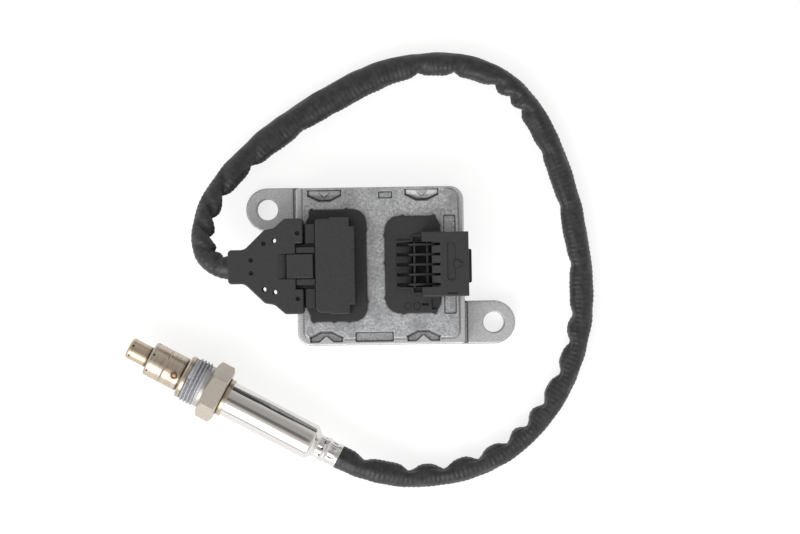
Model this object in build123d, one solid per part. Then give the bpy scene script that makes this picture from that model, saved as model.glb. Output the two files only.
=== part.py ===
from build123d import *
import math
import os

# Nitrogen oxide sensor: a control unit, a probe with its union nut, and the sleeved cable between them.
# Sizes are in millimetres. X runs along the control unit, Y across it and Z up from the underside.
# The origin is midway between the two ear holes, on the underside.

# Fits
plastic_gap = 0.3      # plastic piece beside its seat, on each side
metal_gap = 0.05       # metal piece beside its seat, on each side
spin_gap = 0.06        # union nut round the probe body, on the radius
end_play = 0.1         # union nut between its two shoulders, at each end

# Housing casting
body_length = 71.0     # along X, at the underside
body_width = 67.0      # along Y, at the underside
body_free_corner_r = 6.0
body_ear_corner_r = 1.5
body_draft = 2.0       # degrees
rim_h = 16.8
rim_round = 0.7
plateau_h = 18.0       # raised middle of the top
plateau_round = 0.4
plateau_slope = 30.0   # degrees from upright
plateau_inset_left = 3.8
plateau_inset_right = 3.3
plateau_inset_front = 3.5
plateau_corner_r = 3.0
plateau_rear_inset = 2.2   # only at the free corner, whose step runs out over the rear edge
plateau_rear_corner_r = 4.2
plateau_rear_corner_w = 4.3
ear_r = 9.1
ear_t = 6.0
ear_reach = 11.8       # hole centre beyond the body's side
ear_round = 0.8
ear_joint_r = 1.0      # ear to side wall
ear_hole_r = 4.4
ear_hole_chamfer = 0.4
wall_t = 4.1           # side wall beside the cavity
roof_t = 2.6
cavity_corner_r = 3.0
ledge_w = 1.6          # ledge that carries the base seal
ledge_h = 2.2
shoulder_h = 12.0      # the cavity is narrower above this, under the edge wells
shoulder_w = 5.0

# Wells along the casting's edges
well_half_w = 7.2
well_flat_half_w = 2.4
well_side = 2.7
well_run = 5.2
well_edge = 1.5        # well to the body's edge
well_depth = 2.8
well_lip = 0.6         # depth at the outer end
well_slope = 16.0      # degrees from upright
well_rib_half_w = 4.6
well_rib_run = 2.9
well_rib_drop = 1.2    # rib top below the plateau
well_x_left = -23.0
well_x_right = 17.6
small_pocket_depth = 1.0
panel_depth = 0.5

# Base plate and its seal
plate_t = 1.6
base_screw_r = 1.5
base_screw_head_r = 2.75
base_screw_length = 9.0
base_screw_inset = 2.6  # from the cavity's walls
post_r = 3.2
head_sink = 0.2
drive_r = 1.15         # hexagon socket in each screw head
drive_depth = 0.9

# Circuit board
board_t = 1.6
board_h = 6.0          # underside of the board
board_margin = 1.6     # board to cavity wall
board_notch = 7.0      # square corner cut-outs round the posts
board_post_x = 28.0
board_post_y = 16.0
board_post_r = 2.2
board_screw_r = 1.25
board_screw_head_r = 2.1
board_screw_head_h = 1.5
board_screw_length = 7.5

# Connector headers
flange_t = 2.6
nub_r = 0.6
seal_w = 1.6
seal_h = 1.0
foot_drop = 3.4        # foot below the casting's plateau
foot_gap = 0.3
pin_w = 0.64
pin_hole_gap = 0.13
pin_tail = 0.8         # pin below the board

# Vehicle header, on the right
vehicle_y = 0.35
vehicle_x0 = 2.2
vehicle_x1 = 24.9
vehicle_half_w = 20.0
vehicle_corner_r = 5.9
step_h = 0.9           # stepped platform above the flange
grid_x0 = 13.3         # grid well
grid_x1 = 21.4
grid_half_w = 9.4
grid_bars = 5
grid_pitch = 4.15
grid_bar_t = 0.85
grid_bar_x0 = 11.3
grid_top = 22.6
grid_floor = 16.0
grid_cross_x = [14.2, 19.6]
slot_x0 = 6.9
slot_w = 1.35
slot_right_x1 = 24.8
slot_right_w = 1.1
right_ramp_h = 2.6     # slope between the right slots
shroud_x0 = 17.3
shroud_x1 = 36.5
shroud_half_w = 13.3
shroud_bottom = 19.6
shroud_top = 35.0
shroud_wall = 2.3
shroud_round = 0.6
nose_h = 0.5           # latch nose on the shroud's top
socket_x0 = 25.0
vehicle_pin_w = 1.5
vehicle_pins = 4
vehicle_pin_reach = 7.0
vehicle_leg_x = 23.0
lip_y = -0.5
lip_half_w = 7.05
lip_reach = 1.5

# Harness header, on the left
harness_y = 0.4
harness_x0 = -30.4
harness_x1 = -6.0
harness_half_w = 23.1
harness_corner_r = 5.4
block_x0 = -26.6
block_x1 = -10.5
block_half_w = 19.3
block_top = 34.0
block_wall = 3.2
block_roof = 2.2
block_round = 0.4
harness_socket_x1 = -18.5
harness_socket_bottom = 21.2
harness_pin_pitch = 4.0
harness_pin_rows = [24.6, 28.4]
harness_leg_x = [-16.0, -12.8]
harness_pin_reach = 6.0

# Harness plug
plug_x0 = -34.8
shoulder_x0 = -30.8
shoulder_half_w = 17.35
shoulder_top = 31.6
rail_top = 32.8
rail_y = [5.35, 7.75]    # inner and outer side of a rail, from the plug's centre line
trough_half_w = 9.35
trough_top = 30.2
latch_x0 = -38.5
latch_x1 = -27.6
latch_half_w = 5.0
latch_t = 1.2
latch_post_w = 2.4
terminal_w = 1.8
terminal_hole = 0.8
wire_r = 0.65

# Plug cover
cover_end_x = -62.7
cover_half_w = 19.7
cover_bottom = 19.0
cover_top = 33.4
cover_wall = 1.8
cover_round = 0.6
neck_half_w = 7.05
cover_hole_r = 0.95
ramp_x0 = -42.2
cover_gap = 0.9        # cover's arms to the plug's shoulders
blind_hole_depth = 1.3
cable_grip = 5.7       # cable inside the neck

# Cable
cable_r = 5.25
cable_floor_gap = 0.05
cable_straight = 12.0  # straight run out of the neck, and into the probe

# Probe, turned about an axis that runs from its tip to its cable end
probe_tip = (-106.0, -32.4)
probe_angle = -28.53   # degrees, tip to cable end, in plan
nut_across_flats = 22.0
tip_tube_r = 4.5
tip_tube_t = 0.4
outer_tube_r = 7.45
outer_tube_t = 0.5
outer_tube_z0 = 9.75
outer_tube_z1 = 24.95
tube_hole_r = 0.45
tube_holes = 6
collar_r = 9.35
collar_z0 = 25.7
collar_z1 = 27.85
stem_r = 6.6
thread_r = 10.0
thread_length = 7.1
relief_r = 9.25
relief_length = 1.7
hex_length = 7.6
hex_chamfer = 1.1
rear_shoulder_r = 8.2
rear_shoulder_t = 2.2
sleeve_r = 7.62
sleeve_t = 0.5
sleeve_length = 40.1
crimp_length = 12.4
crimp_waist_r = 4.8
crimp_bulge_r = 5.5
crimp_lip_r = 5.2
bore_r = 4.7
element_w = 4.2
element_t = 1.8
element_z0 = 6.0
element_z1 = 70.0


# Shared shapes

def outline(corners):
    """Flat outline through (x, y, radius) corners. A radius of 0 leaves a corner sharp."""
    sketch = Polygon(*[(x, y) for x, y, _ in corners])
    for x, y, radius in corners:
        if radius > 0:
            corner = sketch.vertices().sort_by_distance((x, y, 0))[0]
            sketch = fillet(corner, radius)
    return sketch


def upright(sketch, z0, z1, taper=0.0):
    """Upright prism on a flat outline, from z0 to z1."""
    return extrude(Pos(0, 0, z0) * sketch, amount=z1 - z0, dir=(0, 0, 1), taper=taper)


def sunk(sketch, z_top, depth, taper=0.0):
    """Prism that goes down from z_top, narrower at its floor by the taper."""
    return extrude(Pos(0, 0, z_top) * sketch, amount=depth, dir=(0, 0, -1), taper=taper)


def block(x0, x1, y0, y1, z0, z1, corner_r=0.0):
    """Upright block between two corners, its upright edges rounded by corner_r."""
    corners = [(x0, y0, corner_r), (x1, y0, corner_r), (x1, y1, corner_r), (x0, y1, corner_r)]
    return upright(outline(corners), z0, z1)


def rod(x, y, z0, z1, radius):
    """Upright cylinder."""
    return Pos(x, y, z0) * Cylinder(radius, z1 - z0, align=(Align.CENTER, Align.CENTER, Align.MIN))


def across(sketch_corners, y0, y1):
    """Prism along Y on an outline of (x, z, radius) corners."""
    return extrude(Pos(0, y0, 0) * (Plane.XZ * outline(sketch_corners)), amount=y1 - y0, dir=(0, 1, 0))


def turned(corners):
    """Solid of revolution about Z through (radius, height, rounding) corners."""
    return revolve(Plane.XZ * outline(corners), axis=Axis.Z)


def top_edges(shape, z):
    """Edges that lie flat at height z."""
    return shape.edges().filter_by_position(Axis.Z, z - 0.001, z + 0.001)


def mirrored_y(points, centre):
    """Corners mirrored to the other side of the line y = centre, in reverse order."""
    return [(x, 2 * centre - y, radius) for x, y, radius in reversed(points)]


# Housing casting

half_l = body_length / 2
half_w = body_width / 2
ear_x = half_l + ear_reach
ear_y = half_w - ear_r
roof_z = plateau_h - roof_t
cavity_x = half_l - wall_t
cavity_y = half_w - wall_t
base_screw_x = cavity_x - base_screw_inset
base_screw_y = cavity_y - base_screw_inset
seat_x = cavity_x + ledge_w
seat_y = cavity_y + ledge_w
foot_z = plateau_h - foot_drop
flange_z = plateau_h + flange_t


def ear():
    """One ear with its bolt hole, at the left end of the housing."""
    tab = block(-ear_x, -half_l + ledge_w, ear_y - ear_r, ear_y + ear_r, 0, ear_t)
    tab += rod(-ear_x, ear_y, 0, ear_t, ear_r)
    tab = fillet(top_edges(tab, ear_t), ear_round)
    wall_x = -half_l + (ear_t + ear_joint_r) * math.tan(math.radians(body_draft)) + 0.02
    far_x = -half_l - 2 * ear_joint_r
    high_z = ear_t + 2 * ear_joint_r
    tab += across([(far_x, ear_t - 1, 0), (wall_x + 1, ear_t - 1, 0), (wall_x + 1, high_z, 0),
                   (wall_x, high_z, 0), (wall_x, ear_t, ear_joint_r), (far_x, ear_t, 0)],
                  ear_y - ear_r + ear_round, ear_y + ear_r - ear_round)
    hole = rod(-ear_x, ear_y, 0, ear_t, ear_hole_r)
    mouth = Pos(-ear_x, ear_y, ear_t - ear_hole_chamfer) * Cone(
        ear_hole_r, ear_hole_r + ear_hole_chamfer, ear_hole_chamfer,
        align=(Align.CENTER, Align.CENTER, Align.MIN))
    return tab - hole - mouth


def body_outline():
    """The body at the underside: two round free corners, two small ones beside the ears."""
    return outline([
        (-half_l, -half_w, body_free_corner_r), (half_l, -half_w, body_ear_corner_r),
        (half_l, half_w, body_free_corner_r), (-half_l, half_w, body_ear_corner_r)])


def plateau_outline(grow):
    """The raised middle, which runs out over the rear edge. grow widens it on every side."""
    left = -half_l + plateau_inset_left - grow
    right = half_l - plateau_inset_right + grow
    front = -half_w + plateau_inset_front - grow
    rear = half_w - plateau_rear_inset + grow
    corner_x = right - plateau_rear_corner_w
    edge_x = corner_x - plateau_rear_inset
    return outline([
        (left, front, plateau_corner_r), (right, front, plateau_corner_r),
        (right, rear, plateau_rear_corner_r), (corner_x, rear, 0),
        (edge_x, rear + plateau_rear_inset, 0), (edge_x, half_w + 5, 0), (left, half_w + 5, 0)])


def plateau():
    """The raised middle of the casting's top, with a sloped and rounded step."""
    sink = 0.6
    rise = plateau_h - rim_h + sink
    grow = rise * math.tan(math.radians(plateau_slope))
    low = Pos(0, 0, plateau_h - rise) * plateau_outline(grow)
    high = Pos(0, 0, plateau_h) * plateau_outline(0)
    raised = loft([low, high], ruled=True)
    raised = raised & upright(body_outline(), 0, plateau_h, body_draft)
    return fillet(top_edges(raised, plateau_h), plateau_round)


def well(x, side):
    """Cutter for a half-hexagon well. side is 1 at the rear edge and -1 at the front one."""
    outer = half_w - well_edge
    inner = outer - well_run
    corners = [
        (x - well_half_w, outer), (x - well_half_w, outer - well_side), (x - well_flat_half_w, inner),
        (x + well_flat_half_w, inner), (x + well_half_w, outer - well_side), (x + well_half_w, outer)]
    shape = outline([(px, side * py, 0) for px, py in corners])
    cutter = sunk(shape, plateau_h + 0.01, well_depth, well_slope)
    surface = plateau_h if side > 0 else rim_h
    floor_z = plateau_h - well_depth
    slope = outline([(side * inner, floor_z - 1, 0), (side * (outer + 1), floor_z - 1, 0),
                     (side * (outer + 1), surface - well_lip, 0), (side * inner, floor_z, 0)])
    ramp = extrude(Pos(x - well_half_w - 1, 0, 0) * (Plane.YZ * slope),
                   amount=2 * well_half_w + 2, dir=(1, 0, 0))
    rib = outline([(x - well_rib_half_w, side * (outer + 1), 0), (x, side * (outer - well_rib_run), 0),
                   (x + well_rib_half_w, side * (outer + 1), 0)])
    return cutter - ramp - upright(rib, floor_z, plateau_h - well_rib_drop)


def edge_panels():
    """Cutters for the shallow pockets: one at the rear, one at the front and a tall panel at the right."""
    rear = block(-0.5, 5.4, 28.1, 31.1, plateau_h - small_pocket_depth, plateau_h + 1, 0.5)
    front = block(-10.9, 5.1, -31.6, -27.5, rim_h - small_pocket_depth, plateau_h + 1, 0.6)
    right_x = half_l - plateau_inset_right - 0.6
    panel = block(right_x - 5.2, right_x, -20.4, 20.9, plateau_h - panel_depth, plateau_h + 1, 0.9)
    return [rear, front, panel]


def cavity():
    """The space inside the housing, with the stepped seat for the base plate."""
    lower = block(-cavity_x, cavity_x, -cavity_y, cavity_y, 0, shoulder_h, cavity_corner_r)
    upper = block(-cavity_x, cavity_x, -cavity_y + shoulder_w, cavity_y - shoulder_w,
                  shoulder_h, roof_z, cavity_corner_r)
    seat = block(-seat_x, seat_x, -seat_y, seat_y, 0, ledge_h, cavity_corner_r)
    return lower + upper + seat


def corner_places(x, y):
    """The four places at (+-x, +-y)."""
    return [(sx * x, sy * y) for sx in (-1, 1) for sy in (-1, 1)]


def opening(x0, x1, y0, y1):
    """Opening in the roof for a header's foot, with its gap."""
    return block(x0 - foot_gap, x1 + foot_gap, y0 - foot_gap, y1 + foot_gap, roof_z - 1, plateau_h + 1, 1.0)


vehicle_foot = (grid_x0 - 1.3, socket_x0, vehicle_y - grid_half_w - 0.6, vehicle_y + grid_half_w + 0.6)
harness_foot = (harness_socket_x1 + 0.5, block_x1 - 0.5, harness_y - 12.0, harness_y + 12.0)


def housing():
    """The die-cast top of the control unit."""
    shell = upright(body_outline(), 0, rim_h, body_draft)
    shell = fillet(top_edges(shell, rim_h), rim_round)
    shell += plateau()
    left_ear = ear()
    shell += left_ear
    shell += Rot(0, 0, 180) * left_ear
    shell -= cavity()
    for x, y in corner_places(base_screw_x, base_screw_y):
        shell += rod(x, y, plate_t, roof_z, post_r)
    for x, y in corner_places(board_post_x, board_post_y):
        shell += rod(x, y, board_h + board_t, roof_z, board_post_r)
    for x in (well_x_left, well_x_right):
        for side in (-1, 1):
            shell -= well(x, side)
    for panel in edge_panels():
        shell -= panel
    shell -= opening(*vehicle_foot)
    shell -= opening(*harness_foot)
    for x, y in corner_places(base_screw_x, base_screw_y):
        shell -= rod(x, y, 0, base_screw_length + 1, base_screw_r + metal_gap)
    for x, y in corner_places(board_post_x, board_post_y):
        shell -= rod(x, y, board_h, board_h + board_screw_length + 1, board_screw_r + metal_gap)
    return shell


# Base plate, seal and screws

def countersink(gap):
    """Screw head cone at the underside, grown by gap."""
    head_h = base_screw_head_r - base_screw_r
    return Cone(base_screw_head_r + gap, base_screw_r + gap, head_h,
                align=(Align.CENTER, Align.CENTER, Align.MIN))


def base_plate():
    """Flat plate that closes the housing from below."""
    plate = block(-seat_x + metal_gap, seat_x - metal_gap, -seat_y + metal_gap, seat_y - metal_gap,
                  0, plate_t, cavity_corner_r - metal_gap)
    for x, y in corner_places(base_screw_x, base_screw_y):
        plate -= rod(x, y, 0, plate_t, base_screw_r + metal_gap)
        plate -= Pos(x, y, head_sink) * countersink(metal_gap)
        plate -= rod(x, y, 0, head_sink, base_screw_head_r + metal_gap)
    return plate


def base_seal():
    """Sealing ring on the ledge, pressed by the base plate."""
    ring = block(-seat_x + metal_gap, seat_x - metal_gap, -seat_y + metal_gap, seat_y - metal_gap,
                 plate_t, ledge_h, cavity_corner_r - metal_gap)
    ring -= block(-cavity_x, cavity_x, -cavity_y, cavity_y, plate_t, ledge_h, cavity_corner_r - metal_gap)
    for x, y in corner_places(base_screw_x, base_screw_y):
        ring -= rod(x, y, plate_t, ledge_h, post_r + metal_gap)
    return ring


def base_screws():
    """Four countersunk screws from the underside."""
    screws = []
    for x, y in corner_places(base_screw_x, base_screw_y):
        screw = Pos(x, y, head_sink) * countersink(0)
        screw += rod(x, y, head_sink, base_screw_length, base_screw_r)
        drive = Pos(x, y, head_sink) * extrude(RegularPolygon(drive_r, 6), amount=drive_depth)
        screws.append(screw - drive)
    return screws


# Circuit board and what it carries

board_top = board_h + board_t
board_x = cavity_x - board_margin
board_y = cavity_y - board_margin


def vehicle_pin_places():
    """Y places of the vehicle header's pins, one in each gap of the grid."""
    middle = (vehicle_pins - 1) / 2
    return [vehicle_y + (i - middle) * grid_pitch for i in range(vehicle_pins)]


def harness_pin_places():
    """Y places of the harness header's pins in one row."""
    return [harness_y + i * harness_pin_pitch for i in (-1.5, -0.5, 0.5, 1.5)]


def board():
    """Circuit board with notched corners, screw holes and pin holes."""
    plate = block(-board_x, board_x, -board_y, board_y, board_h, board_top)
    for x, y in corner_places(board_x, board_y):
        plate -= block(x - board_notch, x + board_notch, y - board_notch, y + board_notch, board_h, board_top)
    for x, y in corner_places(board_post_x, board_post_y):
        plate -= rod(x, y, board_h, board_top, board_screw_r + metal_gap)
    hole = pin_w / 2 + pin_hole_gap
    for y in vehicle_pin_places():
        plate -= block(vehicle_leg_x - hole, vehicle_leg_x + hole, y - vehicle_pin_w / 2 - pin_hole_gap,
                       y + vehicle_pin_w / 2 + pin_hole_gap, board_h, board_top)
    for x in harness_leg_x:
        for y in harness_pin_places():
            plate -= block(x - hole, x + hole, y - hole, y + hole, board_h, board_top)
    return plate


def board_screws():
    """Four pan-head screws that hold the board to its posts, from below."""
    screws = []
    for x, y in corner_places(board_post_x, board_post_y):
        screw = rod(x, y, board_h - board_screw_head_h, board_h, board_screw_head_r)
        screw = fillet(screw.edges().filter_by(GeomType.CIRCLE).sort_by(Axis.Z)[0], 0.5)
        screw += rod(x, y, board_h, board_h + board_screw_length, board_screw_r)
        screws.append(screw)
    return screws


def leaded_chip(x, y, size_x, size_y, height, leads, pitch):
    """Moulded chip on the board with gull leads along its two long sides."""
    lead_w = 0.45
    lead_reach = 1.0
    chip = block(x - size_x / 2, x + size_x / 2, y - size_y / 2, y + size_y / 2,
                 board_top + 0.2, board_top + height)
    for side in (-1, 1):
        for i in range(leads):
            lead_x = x + (i - (leads - 1) / 2) * pitch
            near = y + side * (size_y / 2 - 0.2)
            far = y + side * (size_y / 2 + lead_reach)
            chip += block(lead_x - lead_w / 2, lead_x + lead_w / 2, min(near, far), max(near, far),
                          board_top, board_top + 0.5)
    return chip


def processor():
    """Processor in a square package in the middle of the board."""
    return leaded_chip(0, 8, 12, 12, 1.5, 12, 0.9)


def driver_chips():
    """Two small driver chips beside the vehicle pins."""
    return [leaded_chip(5, y, 5, 4, 1.6, 4, 1.27) for y in (-6, -17)]


def heater_transistor():
    """Power transistor with its metal tab, flat on the board."""
    package = block(-7.5, -1.0, -9, -3, board_top, board_top + 2.3)
    tab = block(-8.6, -7.5, -8.6, -3.4, board_top, board_top + 0.6)
    legs = [block(-1.0, 1.0, y - 0.4, y + 0.4, board_top, board_top + 0.6) for y in (-8, -4)]
    return package + tab + legs


def choke():
    """Square choke coil with rounded corners and a round core."""
    body = block(-6, 2, -21, -13, board_top, board_top + 4.0, 1.0)
    return body + rod(-2, -17, board_top + 4.0, board_top + 4.4, 2.6)


def capacitors():
    """Three can capacitors in a row, the last two wider."""
    cans = []
    for x, r in ((-6.5, 3.6), (3.0, 3.8), (12.5, 3.8)):
        base = block(x - 4, x + 4, 16.4, 24.4, board_top, board_top + 1.0, 0.6)
        cans.append(base + rod(x, 20.4, board_top + 1.0, board_top + 6.6, r))
    return cans


def chip_resistors():
    """Small chip resistors along two sides of the board."""
    places = [(-18.0, -24.0), (-14.5, -24.0), (-11.0, -24.0), (-18.0, 23.8), (-14.5, 23.8)]
    return [block(x, x + 2.0, y, y + 1.2, board_top, board_top + 0.6) for x, y in places]


# Connector headers

def nubs(places, z0, z1):
    """Small round lugs on a flange's edge."""
    return [rod(x, y, z0, z1, nub_r) for x, y in places]


def seal_ring(foot, gap):
    """Sealing ring round a header's foot, under its flange, grown by gap."""
    x0, x1, y0, y1 = foot
    near = foot_gap + 0.6 - gap
    far = foot_gap + 0.6 + seal_w + gap
    ring = block(x0 - far, x1 + far, y0 - far, y1 + far, plateau_h, plateau_h + seal_h, 1.5)
    return ring - block(x0 - near, x1 + near, y0 - near, y1 + near, plateau_h, plateau_h + seal_h, 0.8)


def vehicle_flange():
    """Flange with two round corners, two cut ones, lugs and a raised stepped platform."""
    top = vehicle_y + vehicle_half_w
    cut = 1.8
    right = [(vehicle_x1, vehicle_y, 0), (vehicle_x1, top - 3.6, 2.5), (vehicle_x1 - cut, top - 0.8, 0),
             (vehicle_x1 - cut, top, 0.2)]
    left = [(vehicle_x0, top, vehicle_corner_r)]
    corners = right + left + mirrored_y(right[1:] + left, vehicle_y)
    flange = upright(outline(corners), plateau_h, flange_z)
    lug_x = vehicle_x1 - cut - 0.7
    places = [(lug_x, top), (lug_x, 2 * vehicle_y - top), (9.6, top), (9.4, 2 * vehicle_y - top),
              (vehicle_x0, 12.6), (vehicle_x0, 1.2), (vehicle_x0, -13.4)]
    flange += nubs(places, plateau_h, flange_z)
    half = grid_half_w + 0.65
    rear = [(slot_x0, vehicle_y + half, 0), (12.6, vehicle_y + half, 0), (13.5, vehicle_y + 12.4, 0.5),
            (16.4, vehicle_y + 12.4, 0.5), (shroud_x0, vehicle_y + 14.1, 0.6), (vehicle_x1, vehicle_y + 14.1, 0)]
    platform = upright(outline(rear + mirrored_y(rear, vehicle_y)), plateau_h, flange_z + step_h)
    for near, far in ((half - 0.4, half + 1.6), (-half - 1.6, -half + 0.4)):
        platform -= block(13.7, shroud_x0 - 0.2, vehicle_y + near, vehicle_y + far, flange_z - 0.9, flange_z + 2)
        flange -= block(13.7, shroud_x0 - 0.2, vehicle_y + near, vehicle_y + far, flange_z - 0.9, flange_z + 2)
    return flange + platform


def grid():
    """Cross-ribbed well, with a slot at each end of every rib and pads that slope down into it."""
    level = flange_z + step_h
    well_box = block(grid_x0, grid_x1, vehicle_y - grid_half_w, vehicle_y + grid_half_w, grid_floor, shroud_top + 1)
    slope = across([(slot_x0 + 0.3, level, 0), (grid_x0, level - 2.2, 0), (grid_x0, level + 1, 0),
                    (slot_x0 + 0.3, level + 1, 0)], vehicle_y - grid_half_w, vehicle_y + grid_half_w)
    ramp = across([(grid_x1 - 0.1, shroud_top - right_ramp_h, 0), (slot_right_x1, shroud_top, 0),
                   (slot_right_x1, shroud_top + 1, 0), (grid_x1 - 0.1, shroud_top + 1, 0)],
                  vehicle_y - grid_half_w, vehicle_y + grid_half_w)
    cuts = [well_box, slope, ramp]
    bars = []
    middle = (grid_bars - 1) / 2
    for i in range(grid_bars):
        y = vehicle_y + (i - middle) * grid_pitch
        cuts.append(block(slot_x0, grid_bar_x0 + 0.6, y - slot_w / 2, y + slot_w / 2, plateau_h + 0.8, level + 1))
        cuts.append(block(grid_x1 - 0.1, slot_right_x1, y - slot_right_w / 2, y + slot_right_w / 2,
                          shroud_top - 8, shroud_top + 1, 0))
        bar = outline([(grid_bar_x0, y, 0), (grid_bar_x0 + 1.4, y - grid_bar_t / 2, 0),
                       (grid_x1, y - grid_bar_t / 2, 0), (grid_x1, y + grid_bar_t / 2, 0),
                       (grid_bar_x0 + 1.4, y + grid_bar_t / 2, 0)])
        bars.append(upright(bar, plateau_h + 0.8, grid_top))
    for x in grid_cross_x:
        bars.append(block(x - grid_bar_t / 2, x + grid_bar_t / 2, vehicle_y - grid_half_w,
                          vehicle_y + grid_half_w, plateau_h + 0.8, grid_top - 0.4))
    return cuts, bars


def shroud():
    """Boxed socket on the right, with its lip and the latch nose on its top."""
    y0 = vehicle_y - shroud_half_w
    y1 = vehicle_y + shroud_half_w
    box = block(shroud_x0, shroud_x1, y0, y1, flange_z, shroud_top)
    box += block(vehicle_x1 - 0.5, shroud_x1, y0, y1, shroud_bottom, flange_z)
    box = fillet(top_edges(box, shroud_top), shroud_round)
    box -= block(socket_x0, shroud_x1, y0 + shroud_wall, y1 - shroud_wall,
                 shroud_bottom + shroud_wall, shroud_top - shroud_wall)
    box -= block(27.6, 31.1, vehicle_y - 6.8, vehicle_y + 9.1, shroud_top - 0.4, shroud_top, 1.2)
    box -= block(27.6, 31.7, y0 + 1.0, y0 + 1.8, shroud_top - 0.4, shroud_top)
    lip = block(shroud_x1 - 1, shroud_x1 + lip_reach, lip_y - lip_half_w, lip_y + lip_half_w,
                shroud_bottom, shroud_bottom + shroud_wall)
    box += fillet(lip.edges().filter_by(Axis.Z).sort_by(Axis.X)[-2:], 0.8)
    nose = block(30.7, 32.3, vehicle_y - 1.4, vehicle_y + 1.5, shroud_top - 0.5, shroud_top + nose_h)
    nose += upright(outline([(32.2, vehicle_y - 0.9, 0), (34.2, vehicle_y, 0), (32.2, vehicle_y + 0.9, 0)]),
                    shroud_top - 0.5, shroud_top + nose_h)
    return box + nose


def vehicle_pin_set():
    """Flat contact pins, bent down to the circuit board."""
    z = (shroud_bottom + shroud_top) / 2
    pins = []
    for y in vehicle_pin_places():
        blade = block(vehicle_leg_x - pin_w / 2, socket_x0 + vehicle_pin_reach, y - vehicle_pin_w / 2,
                      y + vehicle_pin_w / 2, z - pin_w / 2, z + pin_w / 2)
        leg = block(vehicle_leg_x - pin_w / 2, vehicle_leg_x + pin_w / 2, y - vehicle_pin_w / 2,
                    y + vehicle_pin_w / 2, board_h - pin_tail, z + pin_w / 2)
        pins.append(blade + leg)
    return pins


def vehicle_header(pins):
    """The black moulding on the right: flange, grid, boxed socket and the foot in the roof's opening."""
    x0, x1, y0, y1 = vehicle_foot
    header = vehicle_flange() + shroud()
    header += block(x0, x1, y0, y1, foot_z, plateau_h, 0.8)
    cuts, bars = grid()
    for cut in cuts:
        header -= cut
    for bar in bars:
        header += bar
    front = vehicle_y - vehicle_half_w
    header -= block(17.1, 19.9, front + 2.9, front + 3.9, flange_z - 1.2, flange_z + 1)
    header -= block(21.1, vehicle_x1 + 1, front + 1.2, front + 5.8, flange_z - 1.0, flange_z + 1)
    for x in (11.2, 15.1):
        ring = rod(x, front + 2.9, flange_z - 0.2, flange_z, 1.6) - rod(x, front + 2.9, flange_z - 0.2, flange_z, 1.3)
        header -= ring
    header -= seal_ring(vehicle_foot, 0.0)
    for pin in pins:
        header -= pin
    return header


def harness_pin_set():
    """Two rows of square pins, bent down to the circuit board."""
    pins = []
    for z, x in zip(harness_pin_rows, harness_leg_x):
        for y in harness_pin_places():
            blade = block(harness_socket_x1 - harness_pin_reach, x + pin_w / 2, y - pin_w / 2, y + pin_w / 2,
                          z - pin_w / 2, z + pin_w / 2)
            leg = block(x - pin_w / 2, x + pin_w / 2, y - pin_w / 2, y + pin_w / 2,
                        board_h - pin_tail, z + pin_w / 2)
            pins.append(blade + leg)
    return pins


socket_half_w = block_half_w - block_wall
socket_top = block_top - block_roof


def harness_header(pins):
    """The black moulding on the left: flange, tall block and the socket that takes the plug."""
    top = harness_y + harness_half_w
    half = [(harness_x0, harness_y + 18.0, 0), (harness_x0 + 1.3, top - 2.3, 0), (harness_x0 + 1.3, top, 0.3),
            (harness_x1, top, harness_corner_r)]
    flange = upright(outline(half + mirrored_y(half, harness_y)), plateau_h, flange_z)
    low = 2 * harness_y - top
    flange += nubs([(-28.4, top), (-14.0, top), (harness_x1, 15.6), (harness_x1, -14.9),
                    (-13.2, low), (-19.7, low), (-28.0, low)], plateau_h, flange_z)
    y1 = harness_y + block_half_w
    step_y = 0.6
    side = [(block_x0 + 5.9, y1, 0), (block_x0 + 5.9, y1 + step_y, 0),
            (block_x1 - 2.2, y1 + step_y, 0), (block_x1 - 2.2, y1 - 3.2, 0), (block_x1, y1 - 3.2, 0)]
    tall = upright(outline([(block_x0, y1, 1.2)] + side + mirrored_y(side, harness_y) +
                           [(block_x0, 2 * harness_y - y1, 2.6)]), plateau_h, block_top)
    tall = fillet(top_edges(tall, block_top), block_round)
    header = flange + tall
    header -= block(block_x0, harness_socket_x1, harness_y - socket_half_w, harness_y + socket_half_w,
                    harness_socket_bottom, socket_top)
    x0, x1, y0, y1 = harness_foot
    header += block(x0, x1, y0, y1, foot_z, plateau_h, 0.8)
    header -= seal_ring(harness_foot, 0.0)
    for pin in pins:
        header -= pin
    return header


# Harness plug, its terminals and wires

plug_half_w = socket_half_w - plastic_gap
plug_bottom = harness_socket_bottom + plastic_gap
plug_top = socket_top - plastic_gap
plug_front_x = harness_socket_x1 - plastic_gap
cover_mid = (cover_bottom + cover_top) / 2
cover_y = harness_y
inner_half_w = cover_half_w - cover_wall
terminal_x0 = plug_x0 + 2.0


def terminal_places():
    """(y, z) of each plug terminal, in line with the harness header's pins."""
    return [(y, z) for z in harness_pin_rows for y in harness_pin_places()]


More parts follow.
